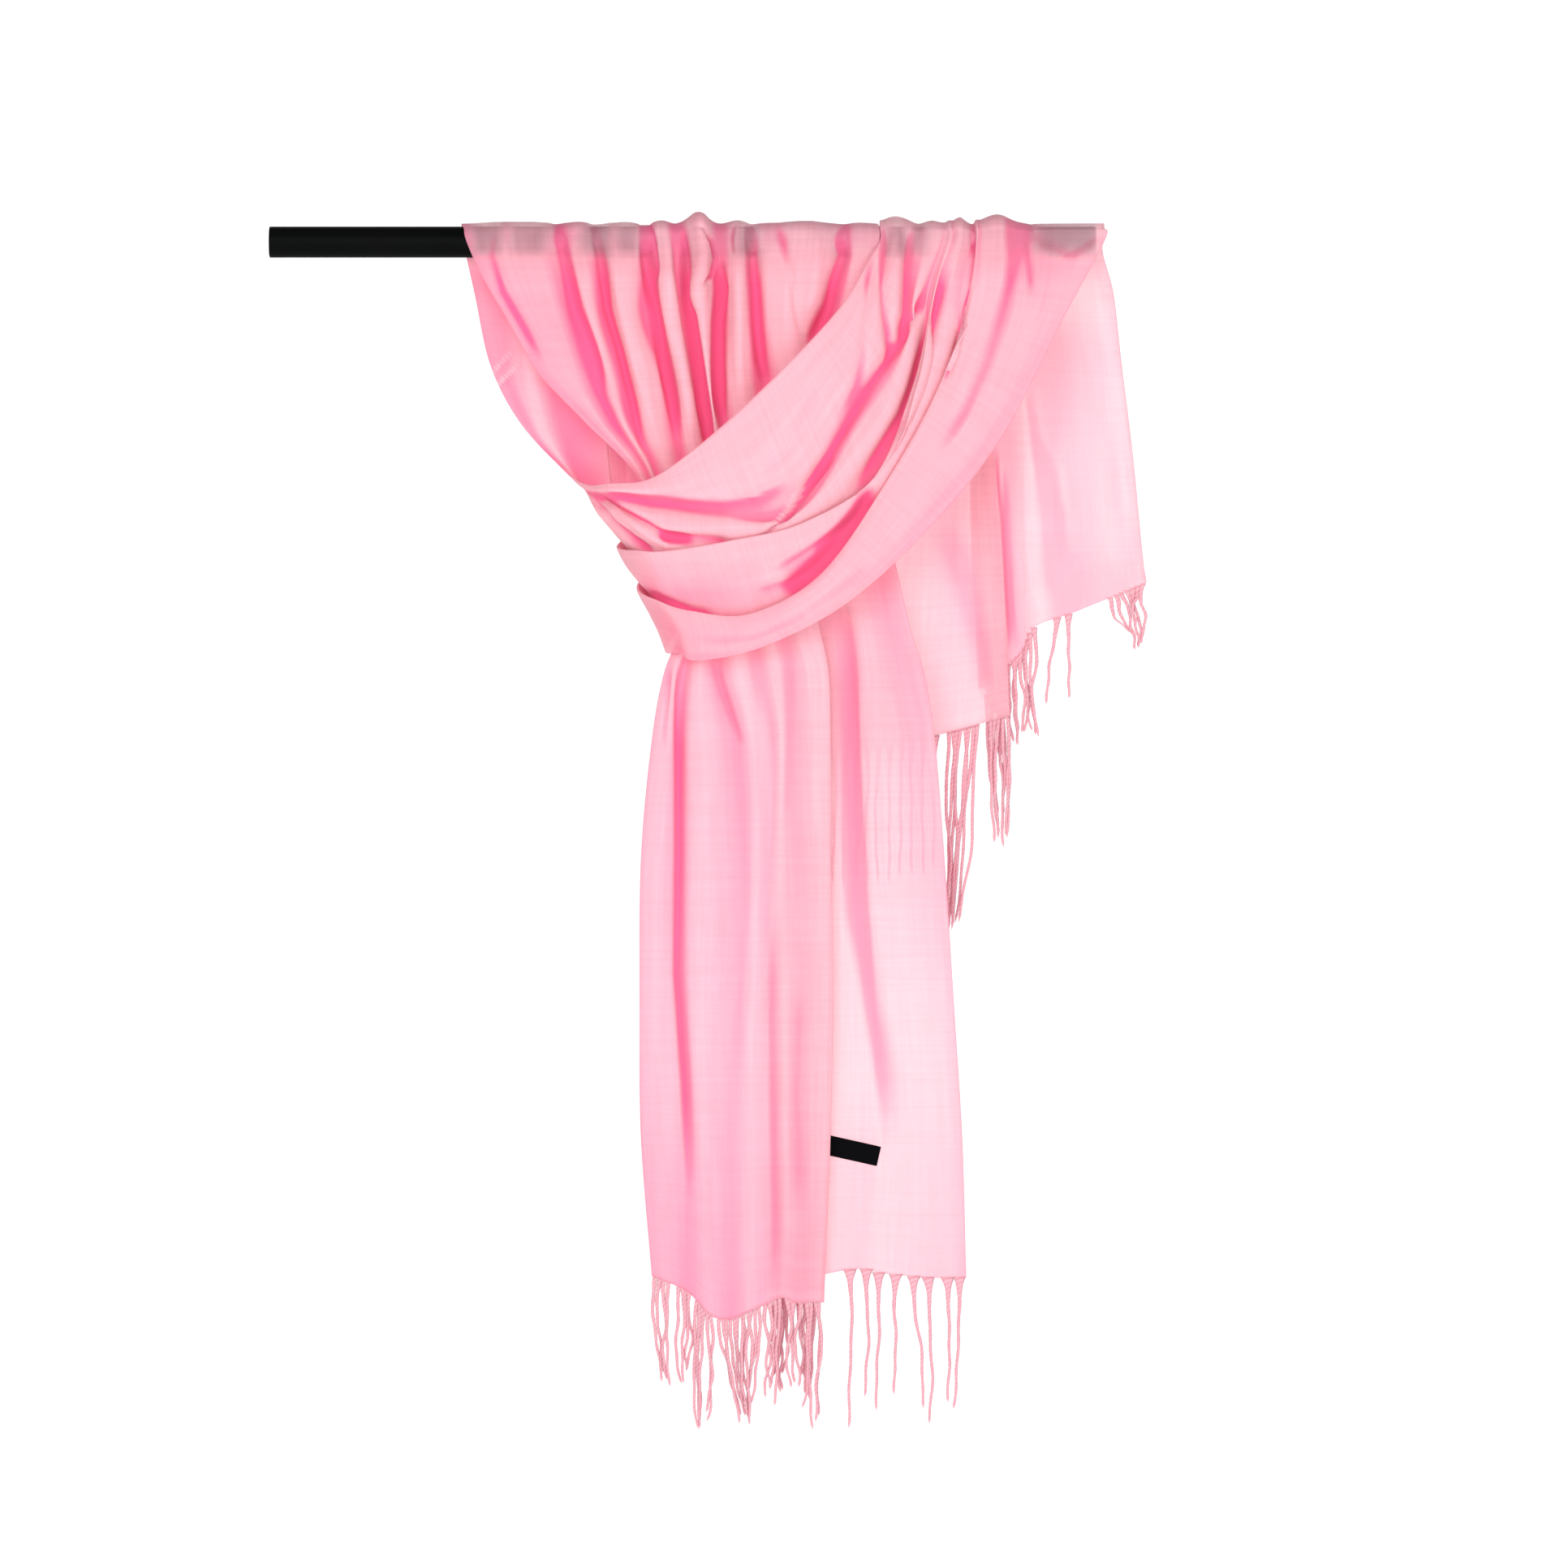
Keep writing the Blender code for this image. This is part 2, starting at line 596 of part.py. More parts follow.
def grow_strand(bm, face, root, middles):
    """Extrude a face down through these middles, narrowing to the strand's tip."""
    centre = np.array(root)
    tip_share = (STRAND_TIP / STRAND_WIDTH) ** (1 / len(middles))
    for middle in middles:
        face = bmesh.ops.extrude_discrete_faces(bm, faces=[face])["faces"][0]
        bmesh.ops.translate(bm, verts=face.verts, vec=Vector((np.array(middle) - centre) * MM))
        centre = np.array(middle)
        for vert in face.verts:
            offset = vert.co - Vector(centre * MM)
            vert.co = Vector(centre * MM) + offset * tip_share


def add_label(tail_grid, material, collection):
    """A woven label on the right layer of the tail, made from that layer's own points."""
    mesh = sheet_mesh("probe", tail_grid)
    corners = [vert.co.copy() for vert in mesh.vertices]
    cloth = BVHTree.FromPolygons(corners, [tuple(face.vertices) for face in mesh.polygons])
    bpy.data.meshes.remove(mesh)
    outward = CLOTH / 2 + SEAM + LABEL_THICKNESS / 2
    grid = np.zeros((2, LABEL_COLUMNS, 3))
    for row, up in enumerate((-0.5, 0.5)):
        for column in range(LABEL_COLUMNS):
            right = (column / (LABEL_COLUMNS - 1) - 0.5) * LABEL_LENGTH
            rise = up * LABEL_HEIGHT
            x = LABEL_X + right * math.cos(LABEL_TILT) - rise * math.sin(LABEL_TILT)
            z = LABEL_Z + right * math.sin(LABEL_TILT) + rise * math.cos(LABEL_TILT)
            hit = cloth.ray_cast(Vector((x, LABEL_PROBE_Y, z)) * MM, Vector((0, 1, 0)))[0]
            grid[row, column] = (x, hit.y / MM - outward, z)
    return add_sheet("label", grid, LABEL_THICKNESS, material, collection)


def add_rod(material, collection):
    bpy.ops.mesh.primitive_cylinder_add(
        vertices=ROD_SIDES,
        radius=ROD_DIAMETER / 2 * MM,
        depth=ROD_LENGTH * MM,
        location=(ROD_LENGTH / 2 * MM, 0, 0),
        rotation=(0, math.pi / 2, 0),
    )
    rod = bpy.context.object
    rod.name = "rod"
    rod.data.name = "rod"
    rod.data.materials.append(material)
    for owner in list(rod.users_collection):
        owner.objects.unlink(rod)
    collection.objects.link(rod)
    rod.data.shade_smooth()
    rod.data.set_sharp_from_angle(angle=math.radians(40))
    return rod


def add_cloth(material, collection):
    """All the stretches of the cloth. Returns the tail's and the flap's grids of points."""

    def add_piece(name, stations, start, end):
        across = steps(0, len(stations[0]) - 1, FOLD_STEPS)
        grid = surface(stations, steps(start, end, ALONG_STEPS), across)
        add_sheet(name, grid, CLOTH, material, collection)
        return grid

    fan = fan_stations()
    add_piece("fan", fan, seam_step(fan, 0, SEAM), len(fan) - 1)
    tail = tail_stations()
    tail_grid = add_piece("tail", tail, 0, len(tail) - 1)
    wrap = wrap_stations()
    turn = len(BACK) + TURN_SEAM
    add_piece("back_stretch", wrap, seam_step(wrap, 0, SEAM), turn)
    add_piece("sling", wrap, turn + seam_step(wrap, len(BACK), TURN_GAP), len(wrap) - 1)
    flap = flap_stations()
    flap_grid = add_piece("flap", flap, seam_step(flap, 0, SEAM), len(flap) - 1)
    return tail_grid, flap_grid


def build():
    clear_scene()
    collection = bpy.data.collections.new(COLLECTION)
    bpy.context.scene.collection.children.link(collection)
    pink = make_material("pink_cloth", PINK, roughness=0.75)
    black = make_material("black_rod", BLACK, roughness=0.45)
    label = make_material("label_black", LABEL_BLACK, roughness=0.8)

    add_rod(black, collection)
    tail_grid, flap_grid = add_cloth(pink, collection)
    add_fringe("fringe_tail", tail_grid[-1], TAIL_FRINGE, pink, collection)
    add_fringe("fringe_flap", flap_grid[-1], FLAP_FRINGE, pink, collection)
    add_label(tail_grid, label, collection)


if __name__ == "__main__":
    build()
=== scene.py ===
"""A fringed woven shawl looped over a black rod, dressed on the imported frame.

The cloth is one long rectangle. From its long tail it climbs the front of the rod as a gathered
fan, goes over the rod, comes down behind, turns round the left side of the bundle, rises to the
right across the front as a sling, goes over the rod again and ends in a short flap behind it.
Tables are in millimetres, meshes in metres, +Z is up and the viewer looks along +Y.
"""

import logging
import math
from dataclasses import dataclass, field
from enum import Enum
from typing import Callable, NamedTuple, Sequence

import bmesh
import bpy
import numpy as np
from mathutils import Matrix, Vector
from mathutils.bvhtree import BVHTree


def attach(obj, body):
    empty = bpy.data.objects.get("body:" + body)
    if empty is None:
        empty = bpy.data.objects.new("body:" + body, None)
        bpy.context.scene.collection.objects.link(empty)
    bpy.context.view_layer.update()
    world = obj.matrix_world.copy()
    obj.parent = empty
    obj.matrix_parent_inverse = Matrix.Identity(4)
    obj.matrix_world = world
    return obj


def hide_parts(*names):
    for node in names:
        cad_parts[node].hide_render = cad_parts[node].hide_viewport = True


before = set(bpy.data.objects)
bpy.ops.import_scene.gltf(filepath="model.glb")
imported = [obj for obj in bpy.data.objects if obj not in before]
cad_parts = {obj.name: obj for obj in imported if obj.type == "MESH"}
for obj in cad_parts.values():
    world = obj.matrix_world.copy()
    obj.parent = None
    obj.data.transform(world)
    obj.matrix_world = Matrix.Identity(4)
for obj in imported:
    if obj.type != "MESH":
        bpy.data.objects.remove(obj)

LOG = logging.getLogger("shawl")
MM = 0.001

Array = np.ndarray
Colour = tuple[float, float, float, float]
Socket = bpy.types.NodeSocket

# ---- Driving sizes and fold tables, in millimetres, as in the frame ----
ROD_DIAMETER = 23.0
ROD_LENGTH = 611.0  # A little under its solid's, so that its end stays behind the thin cloth.
FRAME_WALL = 1.4  # The cloth's thickness in the solids.
OFF_ROD = 1.5  # Room between the solids' cloth and the rod.
WRAP_RADIUS = ROD_DIAMETER / 2 + FRAME_WALL / 2 + OFF_ROD
LEAST_RADIUS = 12.4  # The nearest that a crease may press the cloth to the rod's axis.
LEAST_RADIUS_FROM = -14.0  # The height down to which that holds.
FRINGE_LENGTH = 105.0
OPEN_SPREAD = 1.6  # Half the distance between the two lines of an open U-turn.
FAN_LAP = 5.0  # How far the fan reaches under the sling on the rod.
LEFT_SLANT = 4.0  # How far its left edge runs back to the left over the rod's front.
TURN_SEAM = 0.5  # Where back and sling part, in stations past the last one behind.
SHADED_LEFT = (150.0, 400.0)  # The bundle's shade fades out from the first x to the second.
HILLS = 64  # The noise's field repeats after so many hills.
TINY = 1e-9


class OnRod(NamedTuple):
    """One angle of the cloth's way over the rod: share of a gather's height, and of the lap."""

    angle: float
    share: float
    lap: float


OVER_ROD = (
    OnRod(0, 0.8, 1.0),
    OnRod(45, 1.0, 1.0),
    OnRod(90, 1.0, 0.6),
    OnRod(135, 0.6, 0.0),
    OnRod(165, 0.0, 0.0),
)


class FanFold(NamedTuple):
    """A fold of the fan: x at each height and on the rod, and how far it stands out."""

    name: str
    x: tuple[float, ...]
    rise: float
    crest: float


FAN_HEIGHTS = (-230, -175, -133, -97, -56, -25)
FAN_DEPTHS = (20, 19, 18, 17, 15.5, 14.5)
FAN_RELIEF = (0.3, 0.45, 0.8, 1.1, 1.3, 1.0)
FAN = (
    FanFold("left_edge", (284, 272, 233, 199, 175, 157, 142), 0, 0),
    FanFold("ridge_a", (288, 276, 245, 221, 202, 190, 185), 4, 1.2),
    FanFold("dip_a", (292, 280, 255, 238, 224, 216, 211), 0, 0),
    FanFold("ridge_b", (296, 284, 262, 250, 238, 231, 228), 5, 1.5),
    FanFold("dip_b", (300, 288, 270, 262, 250, 247, 245), -1, 0),
    FanFold("ridge_c", (309, 297, 284, 277, 266, 263, 262), 6, 1.5),
    FanFold("dip_c", (318, 307, 298, 292, 280, 279, 278), -1, 0),
    FanFold("ridge_d", (326, 317, 310, 304, 294, 292, 290), 6, 2.2),
    FanFold("dip_d", (333, 327, 320, 314, 307, 304, 301), -1, 0.3),
    FanFold("ridge_e", (341, 335, 329, 324, 320, 319, 317), 8, 6),
    FanFold("dip_e", (348, 342, 337, 334, 334, 333, 332), -1, 0),
    FanFold("ridge_f", (361, 356, 353, 349, 348, 347, 346), 6, 2.5),
    FanFold("dip_f", (378, 374, 370, 365, 362, 361, 360), 0, 0),
    FanFold("ridge_g", (397, 394, 390, 388, 386, 389, 392), 6, 1.8),
    FanFold("dip_g", (415, 412, 409, 407, 410, 418, 422), -1, 0),
    FanFold("ridge_h", (437, 434, 432, 431, 431, 433, 436), 3, 0.6),
    FanFold("right_edge", (458, 456, 454, 451, 449, 447, 446), 0, 0),
)


class TailFold(NamedTuple):
    """A fold of the tail: x at each height, hem height, plane, own rise and U-turn depth."""

    name: str
    x: tuple[float, ...]
    hem: float
    plane: float
    rise: float
    turn: float


TAIL_HEIGHTS = (-230, -283, -319, -369, -457, -565, -661)
TAIL_RELIEF = (0.7, 0.75, 0.65, 0.45, 0.28, 0.2, 0.15, 0.2)
TAIL = (
    TailFold("left_edge", (306, 305, 292, 283, 275, 274, 275, 283), -763, 25, -3, 0),
    TailFold("ridge_a", (311, 310, 301, 293, 288, 288, 293, 296), -768, 25, 3, 0),
    TailFold("dip_a", (316, 316, 307, 304, 304, 306, 310, 311), -776, 25, -6, 0),
    TailFold("ridge_b", (322, 322, 318, 320, 322, 320, 322, 326), -792, 25, 3, 0),
    TailFold("dip_b", (329, 331, 332, 343, 348, 344, 341, 341), -795, 25, -3, 0),
    TailFold("ridge_c", (338, 342, 348, 359, 360, 356, 354, 354), -789, 25, 4, 0),
    TailFold("dip_c", (348, 354, 362, 371, 370, 366, 366, 365), -785, 25, -2, 0),
    TailFold("ridge_d", (359, 366, 374, 379, 378, 379, 380, 378), -779, 25, 3, 0),
    TailFold("dip_d", (368, 377, 385, 388, 389, 391, 391, 390), -783, 25, -1, 0),
    TailFold("ridge_e", (380, 391, 400, 402, 403, 404, 403, 401), -782, 25, 2, 0),
    TailFold("front_edge", (392, 404, 411, 412, 412, 413, 411, 407), -782, 22.5, 0, -4.5),
    TailFold("tuck", (383, 386, 386, 383, 377, 371, 371, 372), -771, 15.5, 0, -4.5),
    TailFold("dip_f", (407, 418, 422, 425, 428, 432, 432, 430), -759, 10, -2, 0),
    TailFold("ridge_f", (422, 434, 438, 440, 445, 451, 456, 454), -762, 10, 5, 0),
    TailFold("dip_g", (442, 454, 461, 469, 474, 480, 485, 486), -765, 10, -2, 0),
    TailFold("right_edge", (461, 473, 484, 492, 499, 506, 512, 515), -765, 10, 0, 0),
)


class Station(NamedTuple):
    """A section of the wrap: its depth, the way it faces, its relief and how shut its turns are."""

    depth: float
    facing: float
    relief: float
    closed: float


BACK = (
    Station(-15.5, 180, 0.4, 0.0),
    Station(-17.5, 180, 0.5, 0.0),
    Station(-18.5, 180, 0.5, 0.0),
    Station(-15.0, 150, 0.5, 0.4),
)
SLING = (
    Station(10, 90, 1.0, 0.8),
    Station(36, 20, 0.9, 1.0),
    Station(46, 0, 1.0, 1.0),
    Station(52, 0, 1.0, 1.0),
    Station(50, 0, 1.1, 1.0),
    Station(44, 0, 1.1, 1.0),
    Station(34, 0, 0.9, 0.8),
    Station(22, 0, 0.5, 0.0),
)
BACK_LEFT = ((151, -37), (163, -91), (185, -133), (217, -167))
BACK_RIGHT = ((431, -61), (401, -127), (359, -199), (322, -262))


class WrapFold(NamedTuple):
    """A fold of the wrap: (x, z) at each station of the sling, rise, U-turn, crest, shares."""

    name: str
    path: tuple[tuple[float, float], ...]
    rise: float
    turn: float
    crest: float
    at_rod: float
    at_turn: float


WRAP = (
    WrapFold(
        "top_edge", ((235, -179), (252, -180), (281, -177), (311, -158), (356, -119), (401, -74),
        (427, -43), (442, -16), (451, 0)),
        1, 0, 2.4, 0.0, 0.0,
    ),
    WrapFold(
        "ridge_a", ((239, -183), (254, -186), (284, -186), (318, -179), (370, -157), (417, -100),
        (444, -60), (457, -25), (464, 0)),
        4, 0, 5.5, 0.08, 0.03,
    ),
    WrapFold(
        "dip_a", ((241, -190), (258, -192), (290, -194), (332, -199), (386, -195), (431, -130),
        (461, -85), (472, -40), (478, 0)),
        -2, 0, 0, 0.17, 0.08,
    ),
    WrapFold(
        "ridge_b", ((246, -202), (266, -208), (292, -214), (334, -214), (390, -205), (438, -154),
        (468, -94), (478, -40), (488, 0)),
        2, 0, 2, 0.26, 0.18,
    ),
    WrapFold(
        "pocket_b", ((264, -233), (277, -239), (297, -240), (343, -234), (398, -220), (448, -180),
        (479, -110), (486, -42), (498, 0)),
        -5, 3.5, 0.5, 0.35, 0.38,
    ),
    WrapFold(
        "lip_b", ((261, -227), (275, -231), (294, -232), (341, -225), (395, -211), (446, -176),
        (474, -109), (491, -40), (504, 0)),
        2.5, 3.5, 2, 0.42, 0.47,
    ),
    WrapFold(
        "ridge_c", ((267, -241), (282, -250), (303, -254), (349, -251), (401, -231), (450, -184),
        (484, -112), (500, -42), (511, 0)),
        2, 0, 4.5, 0.5, 0.54,
    ),
    WrapFold(
        "pocket_c", ((278, -264), (293, -277), (316, -284), (360, -287), (415, -259), (459, -197),
        (502, -121), (509, -44), (518, 0)),
        -5, 3.5, 0.5, 0.58, 0.63,
    ),
    WrapFold(
        "lip_c", ((277, -257), (291, -268), (313, -275), (356, -277), (407, -249), (452, -188),
        (494, -114), (517.5, -43), (524, 0)),
        3.5, 3.5, 2.5, 0.66, 0.69,
    ),
    WrapFold(
        "ridge_d", ((290, -274), (300, -283), (316, -288), (360, -287), (414, -256), (464, -198),
        (512, -126), (536, -48), (539, 0)),
        8.5, 0, 6.5, 0.77, 0.76,
    ),
    WrapFold(
        "dip_d", ((295, -287), (304, -295), (317, -300), (362, -295), (419, -263), (473, -205),
        (524, -134), (559, -51), (560, 0)),
        7, 0, 0.3, 0.88, 0.88,
    ),
    WrapFold(
        "hem_edge", ((296, -300), (305, -305), (318, -310), (365, -300), (425, -269), (485, -215),
        (539, -148), (587, -56), (617, 0)),
        3, 0, 0, 1.0, 1.0,
    ),
)


class FlapFold(NamedTuple):
    """A fold of the flap: x at each height, hem height, own rise and U-turn depth."""

    name: str
    x: tuple[float, ...]
    hem: float
    rise: float
    turn: float


FLAP_HEIGHTS = (-8, -37, -85, -157, -229)
FLAP_PLANES = (15, 21, 28, 31, 31, 28)
FLAP_RELIEF = (0.1, 0.4, 0.8, 1.0, 1.0, 1.0)
FLAP = (
    FlapFold("left_edge", (451, 444, 426, 395, 354, 292), -379, -2, 0),
    FlapFold("ridge_a", (463, 458, 444, 420, 388, 336), -378, 1.5, 0),
    FlapFold("dip_a", (475, 471, 459, 440, 415, 378), -376, -1.5, 0),
    FlapFold("ridge_b", (487, 484, 473, 460, 442, 420), -374, 1.5, 0),
    FlapFold("dip_b", (498, 495, 486, 476, 463, 458), -371, -1.5, 0),
    FlapFold("ridge_c", (511, 509, 508, 506, 504, 500), -363, -1, 0),
    FlapFold("front_edge", (524, 526, 528, 534, 539, 544), -351, -1, 3.5),
    FlapFold("tuck", (529, 528, 523, 522, 523, 528), -329, 5, 3.5),
    FlapFold("ridge_d", (541, 542, 546, 550, 553, 557), -303, 8, 0),
    FlapFold("dip_d", (554, 555, 557, 562, 563, 567), -284, 6, 0),
    FlapFold("ridge_e", (578, 577, 582, 588, 593, 596), -273, 9, 0),
    FlapFold("right_edge", (617, 625, 631, 640, 647, 650), -251, 6, 0),
)


class Crease(NamedTuple):
    """A soft trough (depth below 0) or ridge along (x, z) points, on the folds' lines given.

    Its right side, seen along its points, is skew times as wide as its left side. Its last field is
    painted shade along it, beyond the painted shade that its depth alone gives.
    """

    name: str
    points: tuple[tuple[float, float], ...]
    width: float
    depth: float
    lines: tuple[float, float] = (0.0, 99.0)
    skew: float = 1.0
    extra_shade: float = 0.0


# Each trough in these tables also paints shade along it, and a last number, where given, paints
# more.
FAN_CREASES = (
    Crease("hem_roll", ((170, 17), (167, -11), (175, -37), (191, -65), (205, -91)), 3, -1.5),
    Crease(
        "soft_left", ((210, 21), (215, -7), (225, -51), (237, -79), (249, -115)),
        6, -4.5, skew=0.6,
    ),
    Crease(
        "valley_a", ((237, 21), (244, -11), (249, -51), (259, -83), (269, -123), (277, -157)),
        4, -4.5, skew=0.5,
    ),
    Crease("ridge_ab", ((249, 21), (253, -7), (261, -51), (271, -91), (283, -135)), 3.5, 2.5),
    Crease(
        "valley_b", ((275, 21), (277, -11), (281, -41), (288, -79), (295, -115), (301, -149)),
        5.5, -8, skew=0.4,
    ),
    Crease("pinch_b", ((280, 17), (285, -1), (287, -19), (285, -33)), 1.6, -2.5),
    Crease("ridge_bc", ((295, 17), (295, -21), (301, -61), (307, -99), (315, -143)), 3.5, 3),
    Crease(
        "valley_c", ((306, 17), (306, -15), (308, -47), (314, -87), (319, -123), (324, -151),
        (329, -171)),
        5, -9, skew=0.4,
    ),
    Crease("curl_ridge", ((311, 25), (318, 17), (322, -7), (318, -31), (317, -55)), 4.5, 5),
    Crease(
        "curl_line", ((313, 12), (322, 9), (327, -1), (330, -14), (327, -26), (319, -36)),
        1.3, -3.5,
    ),
    Crease(
        "valley_d", ((332, -7), (336, -35), (334, -61), (334, -91), (335, -119), (337, -139)),
        2.4, -8, skew=2.2,
    ),
    Crease("ridge_de", ((347, -7), (347, -41), (347, -83), (349, -119)), 4, 2),
    Crease("pinch_e", ((344, 15), (342, 1), (343, -11)), 1.4, -2.5),
    Crease(
        "valley_e", ((355, 17), (358, -11), (360, -39), (361, -63), (363, -87), (367, -111)),
        4.5, -8, skew=0.7,
    ),
    Crease("soft_f", ((376, 17), (381, -3), (387, -31), (390, -51), (394, -75)), 3, -2.5),
    Crease(
        "valley_g", ((425, 15), (422, 1), (423, -11), (417, -29), (413, -49), (406, -65),
        (397, -79)),
        4.5, -6,
    ),
    Crease("ridge_fg", ((403, 13), (405, -11), (403, -37), (397, -57)), 5, 2.5),
    Crease("left_shade", ((161, -19), (191, -61), (233, -121), (263, -166)), 24, -0.6, extra_shade=0.22),
)

# The lines, first and last, between which creases lie on each of its parts.
TOP_PANEL = (0, 4.2)
POCKET_PANEL = (6.8, 9.2)
LOW_BAND = (11.8, 15)
BELOW_TOP = (3, 9.2)
LAST_LIP = (8, 12.5)
SLING_CREASES = (
    Crease(
        "left_shade", ((236, -182), (256, -189), (282, -195), (308, -197), (335, -197), (361, -191),
        (385, -176)),
        4, -3, TOP_PANEL,
    ),
    Crease(
        "left_valley_a", ((236, -184), (260, -200), (280, -210), (296, -221), (318, -225)),
        3, -5, TOP_PANEL, skew=0.6,
    ),
    Crease("left_ridge", ((241, -184), (263, -204), (282, -219), (301, -229)), 2.2, 2.5, TOP_PANEL),
    Crease(
        "left_valley_b", ((238, -188), (254, -209), (270, -221), (288, -232)),
        2.2, -4.5, TOP_PANEL,
    ),
    Crease("dark_pocket", ((284, -218), (308, -220), (332, -222), (347, -227)), 3.5, -4, TOP_PANEL),
    Crease(
        "diagonal", ((511, 22), (501, -8), (489, -38), (475, -60), (463, -82), (449, -102),
        (439, -118), (427, -138), (415, -158), (401, -178), (389, -196)),
        2.2, -5.5, TOP_PANEL, skew=2.4,
    ),
    Crease(
        "diagonal_low", ((419, -157), (404, -176), (390, -195), (380, -207), (370, -217),
        (361, -223)),
        2.2, -4.5, TOP_PANEL, skew=2.2,
    ),
    Crease(
        "diagonal_side", ((395, -179), (383, -198), (371, -210), (356, -220)),
        2.5, 2, TOP_PANEL,
    ),
    Crease(
        "gather_a", ((453, 18), (455, -4), (453, -34), (455, -58), (458, -80), (455, -98)),
        3, -4, TOP_PANEL,
    ),
    Crease(
        "gather_b", ((475, 10), (472, -18), (471, -40), (469, -60), (466, -76)),
        2.6, -5, TOP_PANEL, skew=2,
    ),
    Crease("gather_ridge", ((464, 18), (463, -14), (462, -42), (463, -66)), 3.5, 2.5, TOP_PANEL),
    Crease(
        "edge_soft", ((447, -4), (443, -34), (442, -58), (438, -86), (433, -110), (419, -134)),
        3.5, -2.5, TOP_PANEL,
    ),
    Crease(
        "broad_shade", ((410, -94), (401, -121), (383, -157), (353, -181)),
        12, -0.8, TOP_PANEL, extra_shade=0.34,
    ),
    Crease(
        "second_valley", ((501, -10), (495, -42), (489, -70), (483, -90), (477, -110), (469, -130),
        (456, -150), (442, -171), (425, -192)),
        6, -7, BELOW_TOP,
    ),
    Crease(
        "pocket_main", ((450, -179), (438, -203), (424, -222), (409, -239), (395, -249),
        (376, -258)),
        8, -8.5, POCKET_PANEL, extra_shade=0.35,
    ),
    Crease(
        "pocket_line", ((443, -198), (419, -217), (395, -233), (371, -248)),
        2.6, -2.2, POCKET_PANEL, skew=1.6,
    ),
    Crease("pocket_fine", ((395, -251), (376, -254), (361, -260)), 2.4, -1.5, POCKET_PANEL),
    Crease("pocket_ridge", ((404, -236), (380, -249), (371, -253)), 2.6, 1.2, POCKET_PANEL),
    Crease(
        "lip_left", ((275, -257), (292, -265), (311, -272), (330, -275)),
        2.4, -2.5, POCKET_PANEL,
    ),
    Crease(
        "lip_line", ((520, 22), (520, -14), (517, -38), (512, -60), (507, -84), (499, -108)),
        1.6, -4.5, LAST_LIP, skew=1.5,
    ),
    Crease(
        "edge_shade", ((559, 14), (555, -6), (549, -30), (540, -60), (529, -92), (513, -126),
        (489, -164)),
        6, -2.5, LOW_BAND,
    ),
    Crease("rod_pinch", ((563, 18), (561, 2), (563, -22), (563, -42)), 2, -2, LOW_BAND),
    Crease("rod_swag", ((567, 4), (577, -4), (589, -11), (601, -4), (611, 4)), 3, -2, LOW_BAND),
    Crease(
        "hem_soft", ((306, -291), (335, -294), (361, -291), (390, -279), (419, -258), (455, -229)),
        6, -1.5, LOW_BAND,
    ),
    Crease(
        "mid_shade", ((263, -247), (299, -259), (335, -256), (377, -241)),
        15, -0.4, POCKET_PANEL, extra_shade=0.25,
    ),
    Crease(
        "low_shade", ((287, -286), (317, -294), (353, -292), (401, -274)),
        12, -0.3, LOW_BAND, extra_shade=0.18,
    ),
)

# The lines, first and last, between which creases lie on each of its parts.
FRONT_LAYER = (0, 9)
FRONT_LEFT = (0, 5)
FRONT_TO_EDGE = (0, 9.5)
RIGHT_LAYER = (12.8, 17)
TAIL_CREASES = (
    Crease(
        "left_valley", ((303, -301), (302, -361), (302, -451), (301, -541), (306, -619),
        (310, -709)),
        4.8, -6, FRONT_LAYER, skew=0.4, extra_shade=0.12,
    ),
    Crease("left_pinch", ((296, -308), (294, -343), (292, -379)), 2, -2, FRONT_LEFT),
    Crease("mark_a", ((329, -308), (335, -331), (343, -355), (349, -373)), 2.4, -2.5, FRONT_LAYER),
    Crease("mark_b", ((356, -295), (360, -361), (364, -451), (366, -541)), 4, -0.8, FRONT_LAYER),
    Crease("mark_c", ((384, -292), (385, -361), (383, -439)), 4, -1.0, FRONT_TO_EDGE),
    Crease(
        "low_valley", ((372, -493), (371, -571), (372, -661), (373, -721), (373, -787)),
        5.5, -2, FRONT_TO_EDGE, skew=0.4, extra_shade=0.06,
    ),
    Crease("low_soft", ((392, -541), (389, -631), (392, -721)), 6, -1.5, FRONT_TO_EDGE),
    Crease(
        "right_valley", ((427, -235), (428, -331), (430, -421), (433, -493), (443, -563),
        (454, -631), (458, -679)),
        14, -5, RIGHT_LAYER, skew=0.4, extra_shade=0.12,
    ),
)

# The lines, first and last, between which creases lie on each of its parts.
RIGHT_PANEL = (8.8, 13)
LEFT_PANEL = (0, 6)
FLAP_CREASES = (
    Crease(
        "panel_shadow", ((545, -163), (547, -205), (550, -259), (552, -301)),
        4, -2, RIGHT_PANEL,
    ),
    Crease(
        "soft_fold", ((565, -86), (565, -114), (569, -144), (579, -170), (586, -204), (587, -254)),
        6, -1.2, RIGHT_PANEL, skew=1.4,
    ),
    Crease("pale_fold", ((558, -157), (560, -205), (563, -271)), 3, 0.7, RIGHT_PANEL),
    Crease(
        "panel_edge", ((536, -150), (541, -200), (544, -260), (547, -303)),
        2.0, -1.8, RIGHT_PANEL, extra_shade=0.5,
    ),
    Crease("left_soft", ((497, -205), (512, -253), (524, -301), (530, -349)), 10, -1, LEFT_PANEL),
    Crease("hidden_f", ((467, -19), (452, -133), (419, -259), (377, -337)), 9, 3, LEFT_PANEL),
    Crease("hidden_g", ((485, -1), (479, -109), (461, -241), (437, -349)), 7, 2.5, LEFT_PANEL),
    Crease("hidden_h", ((452, -1), (425, -109), (383, -205), (341, -277)), 8, 3, LEFT_PANEL),
)
